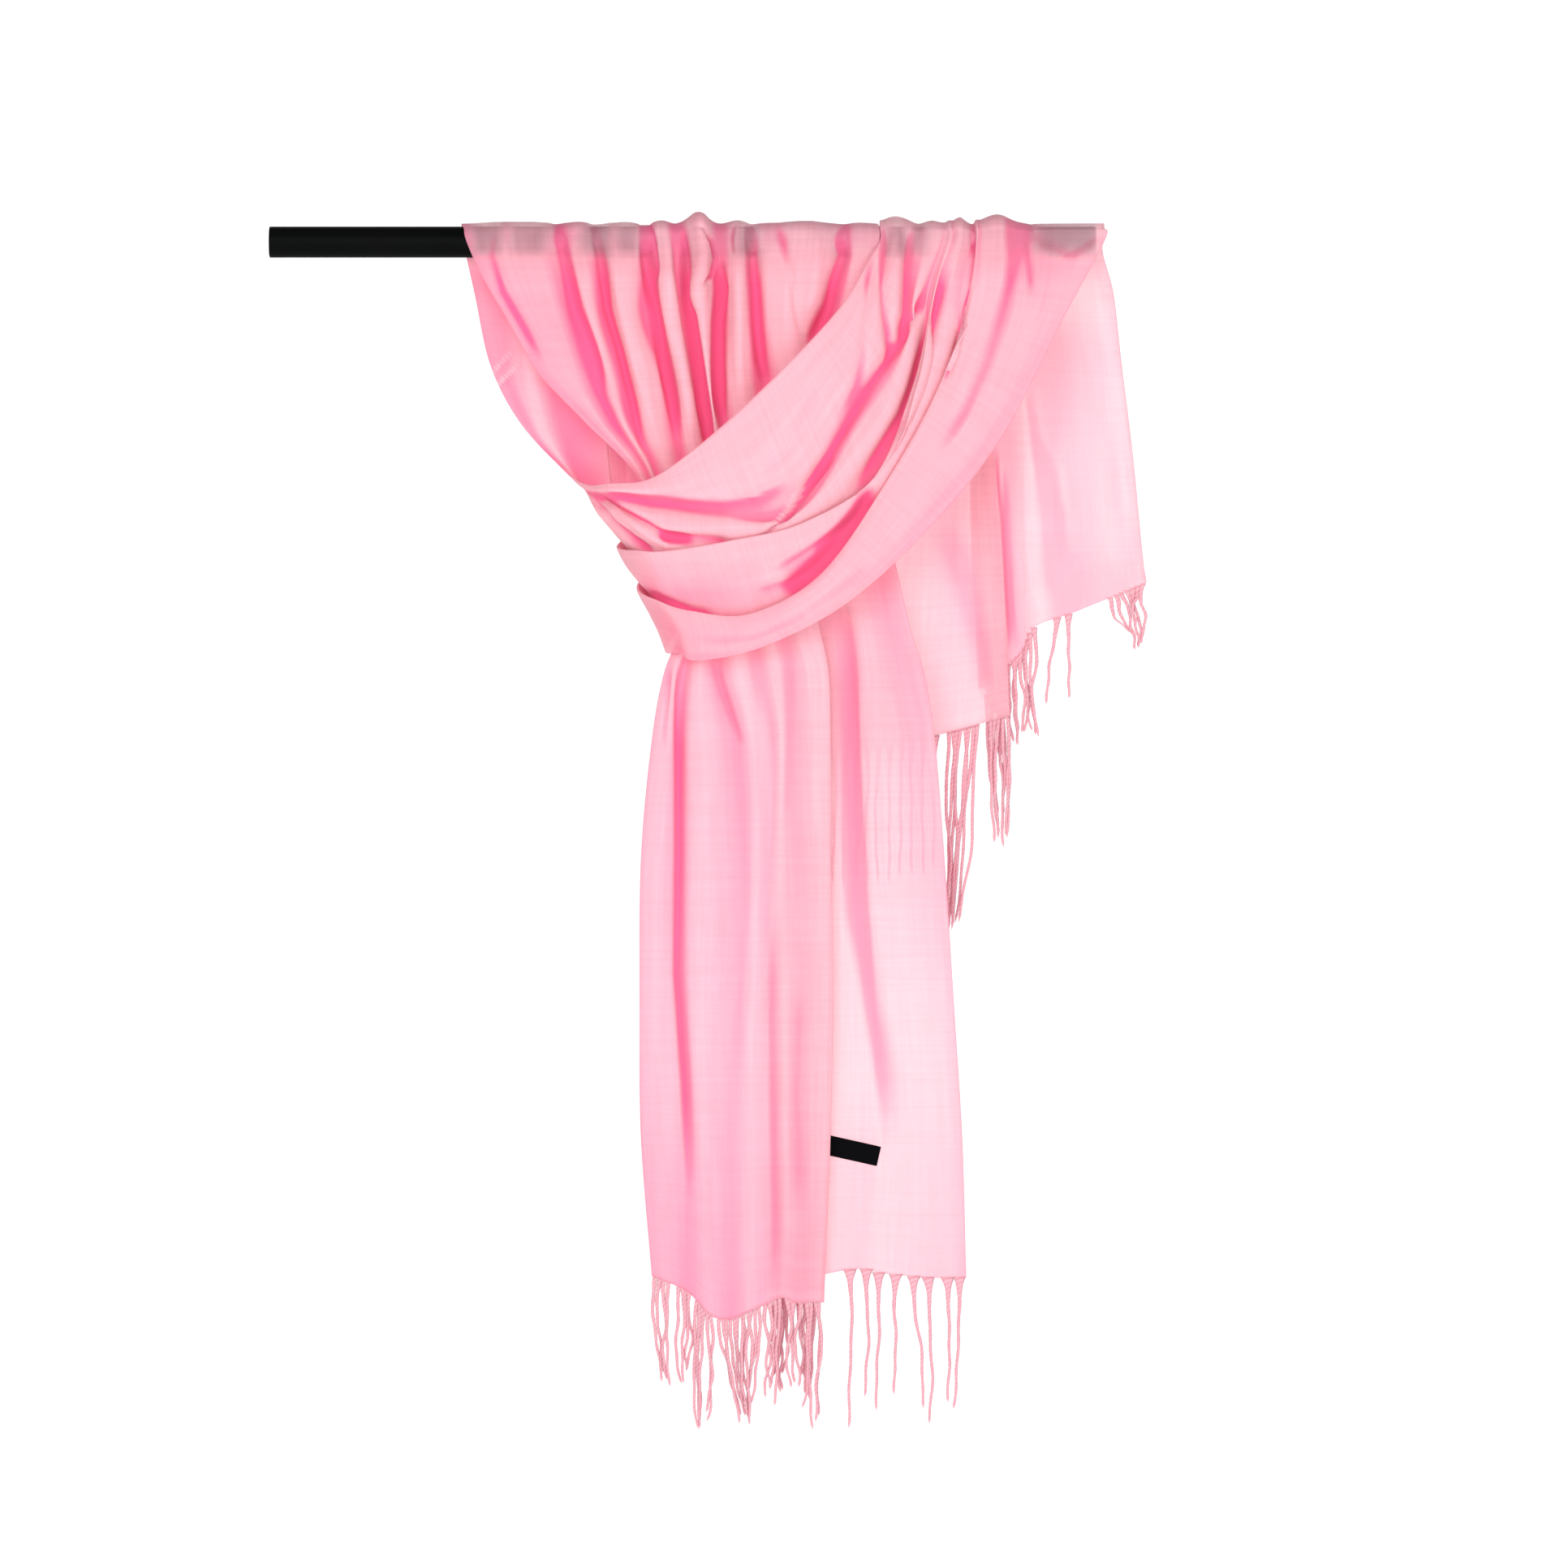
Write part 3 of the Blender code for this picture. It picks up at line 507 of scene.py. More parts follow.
BACK_CREASES = (
    Crease("pack_crease", ((161, -115), (173, -101), (186, -87)), 1.2, -1.6),
    Crease("pack_crease_b", ((163, -99), (180, -79)), 1.2, -1.0),
    Crease("left_shade", ((149, -19), (161, -61), (185, -115), (221, -163)), 22, -0.5, extra_shade=0.22),
    Crease("hidden_a", ((185, 5), (215, -73), (245, -121), (281, -175)), 6, -4),
    Crease("hidden_b", ((230, 8), (257, -73), (284, -133), (308, -193)), 5, -5, skew=0.6),
    Crease("hidden_c", ((281, 8), (294, -79), (311, -145), (323, -211)), 6, -6, skew=1.5),
    Crease("hidden_d", ((338, 8), (344, -79), (348, -157), (338, -229)), 5, -5, skew=0.6),
    Crease("hidden_e", ((395, 8), (389, -73), (374, -157), (350, -235)), 7, -5),
)


class Bunch(NamedTuple):
    """Strands rooted from start to end of the hem, by share of its length, and their tips."""

    start: float
    end: float
    strands: int
    end_x: float | None
    end_z: float | None


TAIL_FRINGE = (
    Bunch(0.002, 0.044, 4, 293, -853),
    Bunch(0.058, 0.094, 4, 307, -846),
    Bunch(0.108, 0.160, 6, 320, -876),
    Bunch(0.172, 0.272, 12, 352, -873),
    Bunch(0.278, 0.322, 4, 370, -860),
    Bunch(0.328, 0.356, 2, 386, -860),
    Bunch(0.360, 0.384, 2, 394, -862),
    Bunch(0.385, 0.410, 3, 404, -877),
    Bunch(0.460, 0.490, 3, 395, -850),
    Bunch(0.515, 0.540, 3, 374, -848),
    Bunch(0.590, 0.620, 3, 378, -850),
    Bunch(0.650, 0.675, 3, 396, -855),
    Bunch(0.732, 0.762, 1, 428, -876),
    Bunch(0.768, 0.798, 1, 440, -853),
    Bunch(0.796, 0.826, 1, 449, -863),
    Bunch(0.833, 0.863, 1, 462, -851),
    Bunch(0.872, 0.932, 2, 485.2, -878),
    Bunch(0.944, 0.974, 1, 501, -857),
    Bunch(0.972, 0.999, 1, 506, -862),
)
FLAP_FRINGE = (
    Bunch(0.010, 0.455, 24, None, None),
    Bunch(0.466, 0.522, 8, 505, -514),
    Bunch(0.538, 0.580, 6, 542, -452),
    Bunch(0.600, 0.640, 3, 541, -436),
    Bunch(0.680, 0.714, 3, 545, -410),
    Bunch(0.720, 0.766, 5, 555, -379),
    Bunch(0.772, 0.804, 3, 567, -375),
    Bunch(0.834, 0.848, 1, 575, -341),
    Bunch(0.854, 0.868, 1, 592, -337),
    Bunch(0.930, 0.998, 7, 643.5, -303),
)


# ---- The shape of the cloth ----
def spline_weights(count: int, positions: Sequence[float]) -> Array:
    """Weights that draw one smooth curve through points, read at given positions.

    Args:
        count: How many points the curve goes through.
        positions: Where it is read, from 0 at the first point to count - 1 at the last.

    Returns:
        One row of weights for each position.
    """
    weights = np.zeros((len(positions), count))
    for row, position in enumerate(positions):
        start = min(int(position), count - 2)
        t = position - start
        shares = (
            (-t + 2 * t**2 - t**3) / 2,
            (2 - 5 * t**2 + 3 * t**3) / 2,
            (t + 4 * t**2 - 3 * t**3) / 2,
            (-(t**2) + t**3) / 2,
        )
        for offset, share in zip((-1, 0, 1, 2), shares):
            index = start + offset
            if index < 0:
                weights[row, 0] += 2 * share
                weights[row, 1] -= share
            elif index >= count:
                weights[row, count - 1] += 2 * share
                weights[row, count - 2] -= share
            else:
                weights[row, index] += share
    return weights


def rod_point(x: float, angle_degrees: float, height: float) -> tuple[float, float, float]:
    """A point of the cloth on the rod.

    Args:
        x: Its place along the rod.
        angle_degrees: Its angle, from the rod's front over its top.
        height: How far a gather lifts it there.

    Returns:
        The point.
    """
    angle = math.radians(angle_degrees)
    radius = WRAP_RADIUS + height
    return (x, -radius * math.cos(angle), radius * math.sin(angle))


def opened(folds: Sequence) -> list[tuple]:
    """The folds' lines as (fold, side): one with side 0 each, or -1 and 1 for a U-turn."""
    lines = []
    for fold in folds:
        lines.extend((fold, side) for side in ((-1, 1) if fold.turn else (0,)))
    return lines


def turn_places(folds: Sequence) -> tuple[float, ...]:
    """The fold positions, among the opened lines, of the U-turns."""
    return tuple(index + 0.5 for index, (_, side) in enumerate(opened(folds)) if side < 0)


def fan_stations() -> Array:
    """The fan from its throat up the front and over the rod to its back."""
    rows = []
    for level, height in enumerate(FAN_HEIGHTS):
        depth, relief = FAN_DEPTHS[level], FAN_RELIEF[level]
        rows.append([(fold.x[level], -(depth + fold.rise * relief), height) for fold in FAN])
    for place in OVER_ROD:
        row = [rod_point(fold.x[-1], place.angle, fold.crest * place.share) for fold in FAN]
        left = FAN[0].x[-1] + LEFT_SLANT * max(0, 1 - place.angle / 90)
        row[0] = rod_point(left, place.angle, 0)
        row[-1] = rod_point(FAN[-1].x[-1] + FAN_LAP * place.lap, place.angle, 0)
        rows.append(row)
    return np.array(rows, dtype=float)


def tail_stations() -> Array:
    """The tail from the throat down to its hem."""
    rows = []
    for level, relief in enumerate(TAIL_RELIEF):
        row = []
        for fold, side in opened(TAIL):
            height = TAIL_HEIGHTS[level] if level < len(TAIL_HEIGHTS) else fold.hem
            forward = fold.plane + fold.rise * relief + side * fold.turn / 2
            row.append((fold.x[level], -forward, height))
        rows.append(row)
    return np.array(rows, dtype=float)


def flap_stations() -> Array:
    """The flap from the rod's back down to its hem."""
    left, right = FLAP[0].x[0], FLAP[-1].x[0]
    behind_rod = OVER_ROD[-1].angle
    share = [
        (fold.x[0] + side * OPEN_SPREAD - left) / (right - left) for fold, side in opened(FLAP)
    ]
    rows = [[rod_point(left + (right - left) * part, behind_rod, 0) for part in share]]
    for level, relief in enumerate(FLAP_RELIEF):
        row = []
        for fold, side in opened(FLAP):
            height = FLAP_HEIGHTS[level] if level < len(FLAP_HEIGHTS) else fold.hem
            shut = min(1.0, relief)
            x = fold.x[level] + side * OPEN_SPREAD * (1 - shut)
            behind = FLAP_PLANES[level] + fold.rise * relief + side * fold.turn / 2 * shut
            row.append((x, behind, height))
        rows.append(row)
    return np.array(rows, dtype=float)


def wrap_row(places: Sequence, station: Station) -> list[tuple[float, float, float]]:
    """One section of the wrap.

    Args:
        places: The (x, z) place of each fold at this section.
        station: The section's depth, facing, relief and how shut its U-turns are.

    Returns:
        A point for each line of the folds.
    """
    facing = math.radians(station.facing)
    row = []
    for number, fold in enumerate(WRAP):
        here = np.array(places[number], dtype=float)
        ahead = np.array(places[min(number + 1, len(places) - 1)], dtype=float)
        behind = np.array(places[max(number - 1, 0)], dtype=float)
        across = (ahead - behind) / max(np.linalg.norm(ahead - behind), TINY)
        for side in (-1, 1) if fold.turn else (0,):
            place = here + across * side * OPEN_SPREAD * (1 - station.closed)
            out = fold.rise * station.relief + side * fold.turn / 2 * station.closed
            row.append(
                (
                    place[0] - out * math.sin(facing),
                    -station.depth - out * math.cos(facing),
                    place[1],
                )
            )
    return row


def wrap_rod_row(place: OnRod, x_of: Callable[[WrapFold], float]) -> list[tuple]:
    """One section of the wrap on the rod, with its U-turns open.

    Args:
        place: The section's angle, and its share of each gather's height.
        x_of: Gives each fold's place along the rod.

    Returns:
        A point for each line of the folds.
    """
    row = []
    for fold, side in opened(WRAP):
        x = x_of(fold) + side * OPEN_SPREAD
        row.append(rod_point(x, place.angle, fold.crest * place.share))
    return row


def wrap_stations() -> Array:
    """The back stretch from the rod's back to the turn, then the sling up and over the rod."""
    left, right = FAN[0].x[-1], FAN[-1].x[-1]
    rows = [wrap_rod_row(OVER_ROD[-1], lambda fold: left + (right - left) * fold.at_rod)]
    for level, station in enumerate(BACK):
        turned = (level + 1) / (len(BACK) + 1)
        low, high = np.array(BACK_RIGHT[level]), np.array(BACK_LEFT[level])
        shares = [fold.at_rod + (fold.at_turn - fold.at_rod) * turned for fold in WRAP]
        rows.append(wrap_row([high + (low - high) * share for share in shares], station))
    for level, station in enumerate(SLING):
        rows.append(wrap_row([fold.path[level] for fold in WRAP], station))
    for place in OVER_ROD:
        rows.append(wrap_rod_row(place, lambda fold: fold.path[-1][0]))
    return np.array(rows, dtype=float)


def smooth_noise(u: Array, v: Array, seed: int) -> Array:
    """Soft random hills of unit spacing, between -1 and 1, the same on each run.

    Args:
        u: Positions across, in hills.
        v: Positions along, in hills.
        seed: Chooses the hills.

    Returns:
        A height for each position.
    """
    hills = np.random.default_rng(seed).uniform(-1, 1, (HILLS, HILLS))
    iu, iv = np.floor(u).astype(int), np.floor(v).astype(int)
    fu, fv = u - iu, v - iv
    fu, fv = fu**2 * (3 - 2 * fu), fv**2 * (3 - 2 * fv)
    low, high, left, right = iv % HILLS, (iv + 1) % HILLS, iu % HILLS, (iu + 1) % HILLS
    near = hills[left, low] * (1 - fu) + hills[right, low] * fu
    far = hills[left, high] * (1 - fu) + hills[right, high] * fu
    return near * (1 - fv) + far * fv


class Hills(NamedTuple):
    """Soft random unevenness: the hills' size across and along, where they start, their seed."""

    across: float
    along: float
    start_across: float
    start_along: float
    seed: int

    def heights(self, x: Array, z: Array, seed: int) -> Array:
        """Heights at places given in millimetres, between -1 and 1.

        Args:
            x: The places across.
            z: The places along.
            seed: What is added to the hills' own seed.

        Returns:
            A height for each place.
        """
        u, v = x / self.across + self.start_across, z / self.along + self.start_along
        return smooth_noise(u, v, seed + self.seed)


PATCH_WANDER = Hills(22, 18, 0, 20, 90)
ROD_CHANGE = Hills(30, 25, 5, 0, 70)
LOW_RIPPLE = Hills(16, 90, 7, 3, 0)
FINE_RIPPLE = Hills(6, 45, 19, 11, 50)


def grid_normals(grid: Array) -> Array:
    """Unit normals of a grid of points, from the slopes along its two directions."""
    across = np.gradient(grid, axis=1)
    along = np.gradient(grid, axis=0)
    normals = np.cross(across, along)
    return normals / np.maximum(np.linalg.norm(normals, axis=2, keepdims=True), TINY)


def arc_lengths(grid: Array) -> tuple[Array, Array]:
    """Mean running lengths of a grid, across it and along it, in its own units."""
    across = np.linalg.norm(np.diff(grid, axis=1), axis=2).mean(axis=0)
    along = np.linalg.norm(np.diff(grid, axis=0), axis=2).mean(axis=1)
    return np.concatenate([[0], np.cumsum(across)]), np.concatenate([[0], np.cumsum(along)])


def near_path(x: Array, z: Array, points: Sequence) -> tuple[Array, Array]:
    """How far places are from a path, and how far along it their nearest points are.

    Args:
        x: The places' x.
        z: The places' z.
        points: The path's (x, z) points.

    Returns:
        Distances, below 0 on the path's left, and shares of its length from 0 to 1.
    """
    path = np.array(points, dtype=float)
    lengths = np.linalg.norm(np.diff(path, axis=0), axis=1)
    total, run = lengths.sum(), 0.0
    best, share, side = np.full(x.shape, np.inf), np.zeros(x.shape), np.ones(x.shape)
    for start, end, length in zip(path, path[1:], lengths):
        step = (end - start) / length
        t = np.clip((x - start[0]) * step[0] + (z - start[1]) * step[1], 0, length)
        away = np.hypot(x - start[0] - step[0] * t, z - start[1] - step[1] * t)
        closer = away < best
        best = np.where(closer, away, best)
        share = np.where(closer, (run + t) / total, share)
        leftwards = step[0] * (z - start[1]) - step[1] * (x - start[0])
        side = np.where(closer, np.where(leftwards > 0, -1.0, 1.0), side)
        run += length
    return best * side, share


def soft_step(values: Array, low: float, high: float) -> Array:
    """0 below low and 1 above high, with a smooth rise between them."""
    share = np.clip((values - low) / (high - low), 0, 1)
    return share**2 * (3 - 2 * share)


def blurred(grid: Array, rows: int, columns: int) -> Array:
    """A grid averaged twice over windows, with its borders carried outwards.

    Args:
        grid: Points or values, as rows along and columns across.
        rows: The window's rows.
        columns: The window's columns.

    Returns:
        The averaged grid.
    """
    result = grid
    for axis, size in ((0, rows), (1, columns)) * 2:
        pad = [(0, 0)] * grid.ndim
        pad[axis] = (size // 2 + 1, size // 2)
        sums = np.cumsum(np.pad(result, pad, mode="edge"), axis=axis)
        high = np.take(sums, np.arange(size, sums.shape[axis]), axis=axis)
        low = np.take(sums, np.arange(0, sums.shape[axis] - size), axis=axis)
        result = ((high - low) / size)[: grid.shape[0], : grid.shape[1]]
    return result


# ---- Finishes ----
class Tree:
    """Short ways to add and join the nodes of one material or group."""

    def __init__(self, tree: bpy.types.NodeTree) -> None:
        """Start on a tree with nothing in it."""
        self.tree = tree
        tree.nodes.clear()

    def node(self, kind: str, **settings: object) -> bpy.types.Node:
        """A new node.

        Args:
            kind: Its type.
            settings: Its properties or input values, by name, with _ for a space.

        Returns:
            The node.
        """
        node = self.tree.nodes.new(kind)
        for name, value in settings.items():
            if hasattr(node, name):
                setattr(node, name, value)
            else:
                node.inputs[name.replace("_", " ")].default_value = value
        return node

    def join(self, start: Socket, end: Socket) -> None:
        """Link one socket to another."""
        self.tree.links.new(start, end)

    def put(self, value: object, socket: Socket) -> None:
        """Link a socket to an input, or set the input to a number or colour."""
        if isinstance(value, Socket):
            self.join(value, socket)
        else:
            socket.default_value = value

    def math(self, operation: str, first: object, second: object = 0.0) -> Socket:
        """The result of a sum.

        Args:
            operation: Its kind.
            first: A number or socket.
            second: Another.

        Returns:
            The result's socket.
        """
        node = self.tree.nodes.new("ShaderNodeMath")
        node.operation = operation
        for socket, value in zip(node.inputs, (first, second)):
            self.put(value, socket)
        return node.outputs[0]

    def mix(self, share: object, first: object, second: object) -> Socket:
        """A colour between two.

        Args:
            share: Share of the second, as a number or socket.
            first: A colour or socket.
            second: Another.

        Returns:
            The mixed colour's socket.
        """
        node = self.tree.nodes.new("ShaderNodeMix")
        node.data_type = "RGBA"
        for index, value in ((0, share), (6, first), (7, second)):
            self.put(value, node.inputs[index])
        return node.outputs[2]

    def blend(self, share: object, first: Socket, second: Socket) -> Socket:
        """A shader between two.

        Args:
            share: Share of the second, as a number or socket.
            first: A shader.
            second: Another.

        Returns:
            The blended shader's socket.
        """
        node = self.tree.nodes.new("ShaderNodeMixShader")
        for socket, value in zip(node.inputs, (share, first, second)):
            self.put(value, socket)
        return node.outputs[0]

    def relief(self, height: Socket, strength: float, distance: float) -> Socket:
        """Normals of a finely uneven surface.

        Args:
            height: The unevenness.
            strength: How strongly it shows.
            distance: Its height, in metres.

        Returns:
            The normals' socket.
        """
        bump = self.node("ShaderNodeBump", Strength=strength, Distance=distance)
        self.join(height, bump.inputs["Height"])
        return bump.outputs[0]

    def principled(self, colour: object, normal: Socket, **settings: object) -> bpy.types.Node:
        """The main shader of a finish.

        Args:
            colour: Its base colour's socket.
            normal: Its normals' socket.
            settings: Its other values, by name.

        Returns:
            The shader's node.
        """
        shader = self.node("ShaderNodeBsdfPrincipled", **settings)
        self.join(colour, shader.inputs["Base Color"])
        self.join(normal, shader.inputs["Normal"])
        return shader

    def threads(self) -> tuple[Socket, Socket]:
        """Places across and along a piece's own threads, in metres."""
        parts = self.node("ShaderNodeSeparateXYZ")
        self.join(self.node("ShaderNodeUVMap", uv_map="threads").outputs["UV"], parts.inputs[0])
        return parts.outputs[0], parts.outputs[1]


@dataclass(frozen=True)
class Finish:
    """A material, made once under its name.

    Attributes:
        name: The material's name.
    """

    name: str

    def material(self) -> bpy.types.Material:
        """The material, made at its first use."""
        made = bpy.data.materials.get(self.name)
        if made is None:
            made = bpy.data.materials.new(self.name)
            made.use_nodes = True
            tree = Tree(made.node_tree)
            result = tree.node("ShaderNodeOutputMaterial")
            tree.join(self.surface(tree), result.inputs["Surface"])
        return made

    def surface(self, tree: Tree) -> Socket:
        """Add the finish's nodes to its tree and give its shader's socket."""
        raise NotImplementedError(self.name)


@dataclass(frozen=True)
class Weave:
    """The plain weave that every piece of the cloth shares, as one node group.

    Attributes:
        name: The group's name.
        pitch: Distance between threads, in metres.
        streak: How far apart the heavier threads are that show as faint lines, in metres.
        drawn_out: How much shorter a heavier thread's noise is across it than along it.
        crossing_share: Height of the threads' crossings.
        slub_share: Height of the heavier threads.
        slub_range: The heavier threads' sum from the deepest tone to the palest.
    """

    name: str = "plain_weave"
    pitch: float = 0.0009
    streak: float = 0.003
    drawn_out: float = 0.04
    crossing_share: float = 0.5
    slub_share: float = 0.6
    slub_range: tuple[float, float] = (0.7, 1.3)

    def group(self) -> bpy.types.NodeTree:
        """The group, made once: from the cloth's own UV to thread height and tone."""
        made = bpy.data.node_groups.get(self.name)
        if made:
            return made
        made = bpy.data.node_groups.new(self.name, "ShaderNodeTree")
        made.interface.new_socket("UV", in_out="INPUT", socket_type="NodeSocketVector")
        made.interface.new_socket("Height", in_out="OUTPUT", socket_type="NodeSocketFloat")
        made.interface.new_socket("Tone", in_out="OUTPUT", socket_type="NodeSocketFloat")
        tree = Tree(made)
        places = tree.node("NodeGroupInput").outputs["UV"]
        result = tree.node("NodeGroupOutput")
        parts = tree.node("ShaderNodeSeparateXYZ")
        tree.join(places, parts.inputs[0])
        turn = 2 * math.pi / self.pitch
        warp = tree.math("SINE", tree.math("MULTIPLY", parts.outputs[0], turn))
        weft = tree.math("SINE", tree.math("MULTIPLY", parts.outputs[1], turn))
        crossing = tree.math("MULTIPLY", warp, weft)
        warp_streak = self.streaks(tree, places, (1.0, self.drawn_out, 1.0))
        weft_streak = self.streaks(tree, places, (self.drawn_out, 1.0, 1.0))
        slubs = tree.math("ADD", warp_streak, weft_streak)
        height = tree.math(
            "ADD",
            tree.math("MULTIPLY", crossing, self.crossing_share),
            tree.math("MULTIPLY", slubs, self.slub_share),
        )
        tree.join(height, result.inputs["Height"])
        low, high = self.slub_range
        tone = tree.node("ShaderNodeMapRange", From_Min=low, From_Max=high)
        tree.join(slubs, tone.inputs["Value"])
        tree.join(tone.outputs[0], result.inputs["Tone"])
        return made

    def streaks(self, tree: Tree, places: Socket, stretch: tuple[float, float, float]) -> Socket:
        """Noise drawn out along one direction of the threads.

        Args:
            tree: The group's nodes.
            places: The cloth's own UV.
            stretch: How many times finer the noise is each way.

        Returns:
            The noise's socket.
        """
        mapping = tree.node("ShaderNodeMapping", Scale=stretch)
        tree.join(places, mapping.inputs["Vector"])
        noise = tree.node("ShaderNodeTexNoise", Scale=1 / self.streak, Detail=3.0, Roughness=0.6)
        tree.join(mapping.outputs[0], noise.inputs["Vector"])
        return noise.outputs["Fac"]


@dataclass(frozen=True)
class ClothFinish(Finish):
    """Thin pink woven cloth with a soft sheen, lit through by what is behind it, with shade painted
    into its folds.

    Attributes:
        face: Colour of the threads.
        tones: What the colour is multiplied by in the deeper and the paler threads.
        painted_shade: The threads' colour as painted shade deep in a fold, deeper pink as where
            light has passed through cloth.
        shade_range: The painted_shade attribute's values from the plain colour to the painted
            shade's.
        most_shade: The most of the painted shade's colour.
        glow: Colour of the light that comes through the threads.
        through: Share of the light that comes through, scattered.
        open: Share of the view that goes straight through between the threads.
        seen_through: Tint of what is seen between the threads.
        weave: The weave that it shares.
    """

    name: str = "pink_weave"
    face: Colour = (0.95, 0.59, 0.66, 1.0)
    tones: tuple[float, float] = (0.88, 1.08)
    painted_shade: Colour = (0.92, 0.09, 0.285, 1.0)
    shade_range: tuple[float, float] = (-0.3, 1.0)
    most_shade: float = 0.97
    glow: Colour = (0.97, 0.49, 0.59, 1.0)
    through: float = 0.40
    open: float = 0.70
    seen_through: Colour = (0.985, 0.965, 0.95, 1.0)
    weave: Weave = Weave()

    def surface(self, tree: Tree) -> Socket:
        """Threads that scatter light and let it through, with gaps where the cloth is thin.

        Args:
            tree: The material's nodes.

        Returns:
            The shader's socket.
        """
        threads = tree.node("ShaderNodeGroup")
        threads.node_tree = self.weave.group()
        uv = tree.node("ShaderNodeUVMap", uv_map="threads")
        tree.join(uv.outputs["UV"], threads.inputs["UV"])
        deeper, paler = (
            tuple(min(1.0, c * tone) for c in self.face[:3]) + (1.0,) for tone in self.tones
        )
        even = tree.mix(threads.outputs["Tone"], deeper, paler)
        # Painted shade: the colour deepens towards its shade colour where the attribute puts a
        # point deep in a fold or under a crease.
        fold = tree.node("ShaderNodeAttribute", attribute_name="painted_shade")
        low, high = self.shade_range
        depth = tree.node(
            "ShaderNodeMapRange", From_Min=low, From_Max=high, To_Max=self.most_shade
        )
        tree.join(fold.outputs["Fac"], depth.inputs["Value"])
        colour = tree.mix(depth.outputs[0], even, self.painted_shade)
        normal = tree.relief(threads.outputs["Height"], 0.35, 0.00012)
        front = tree.principled(
            colour,
            normal,
            Roughness=0.6,
            Sheen_Weight=0.2,
            Sheen_Roughness=0.5,
            Specular_IOR_Level=0.25,
        )
        glow = tree.node("ShaderNodeBsdfTranslucent", Color=self.glow)
        tree.join(normal, glow.inputs["Normal"])
        lit = tree.blend(self.through, front.outputs[0], glow.outputs[0])
        gaps = tree.node("ShaderNodeBsdfTransparent", Color=self.seen_through)
        veil = tree.node("ShaderNodeAttribute", attribute_name="veil")
        share = tree.math("MULTIPLY", veil.outputs["Fac"], self.open)
        return tree.blend(share, lit, gaps.outputs[0])


@dataclass(frozen=True)
class YarnFinish(Finish):
    """Twisted pink yarn of the fringe. Its UV runs round a strand and down it, in metres.

    Attributes:
        face: Colour between the plies, painted shade in the grooves.
        paler: Colour on the plies, a painted highlight on their crests.
        glow: Colour of the light that comes through them.
        through: Share of the light that comes through.
        plies: How many plies are twisted together.
        lay: Length of one turn of the twist for each ply, in metres.
    """

    name: str = "pink_yarn"
    face: Colour = (0.72, 0.29, 0.37, 1.0)
    paler: Colour = (0.93, 0.64, 0.69, 1.0)
    glow: Colour = (0.92, 0.50, 0.58, 1.0)
    through: float = 0.4
    plies: float = 2.0
    lay: float = 0.0035

    def surface(self, tree: Tree) -> Socket:
        """Plies that wind down the strand, with fine fibres on them.

        Args:
            tree: The material's nodes.

        Returns:
            The shader's socket.
        """
        around, down = tree.threads()
        winding = tree.math(
            "ADD",
            tree.math("MULTIPLY", down, 1 / self.lay),
            tree.math("MULTIPLY", around, self.plies),
        )
        crests = tree.math("SINE", tree.math("MULTIPLY", winding, 2 * math.pi))
        fibres = tree.node("ShaderNodeTexNoise", Scale=900.0, Detail=2.0)
        height = tree.math("ADD", crests, tree.math("MULTIPLY", fibres.outputs["Fac"], 0.5))
        # Painted shade in the grooves between the plies and a painted highlight on their crests.
        share = tree.math("ADD", tree.math("MULTIPLY", crests, 0.25), 0.5)
        front = tree.principled(
            tree.mix(share, self.face, self.paler),
            tree.relief(height, 0.6, 0.0003),
            Roughness=0.7,
            Sheen_Weight=0.2,
            Specular_IOR_Level=0.3,
        )
        glow = tree.node("ShaderNodeBsdfTranslucent", Color=self.glow)
        return tree.blend(self.through, front.outputs[0], glow.outputs[0])


@dataclass(frozen=True)
class RodFinish(Finish):
    """Satin black paint on a metal rod.

    Attributes:
        darker: Colour of its darker clouds.
        paler: Colour of its paler clouds.
    """

    name: str = "satin_black"
    darker: Colour = (0.001, 0.0015, 0.001, 1.0)
    paler: Colour = (0.003, 0.003, 0.0035, 1.0)

    def surface(self, tree: Tree) -> Socket:
        """Paint with faint clouds and a fine grain.

        Args:
            tree: The material's nodes.

        Returns:
            The shader's socket.
        """
        place = tree.node("ShaderNodeTexCoord").outputs["Object"]
        grain = tree.node("ShaderNodeTexNoise", Scale=900.0, Detail=4.0)
        clouds = tree.node("ShaderNodeTexNoise", Scale=18.0, Detail=3.0)
        tree.join(place, grain.inputs["Vector"])
        tree.join(place, clouds.inputs["Vector"])
        paint = tree.principled(
            tree.mix(clouds.outputs["Fac"], self.darker, self.paler),
            tree.relief(grain.outputs["Fac"], 0.12, 0.00008),
            Specular_IOR_Level=0.02,
        )
        rough = tree.math("ADD", tree.math("MULTIPLY", clouds.outputs["Fac"], 0.12), 0.42)
        tree.join(rough, paint.inputs["Roughness"])
        return paint.outputs[0]


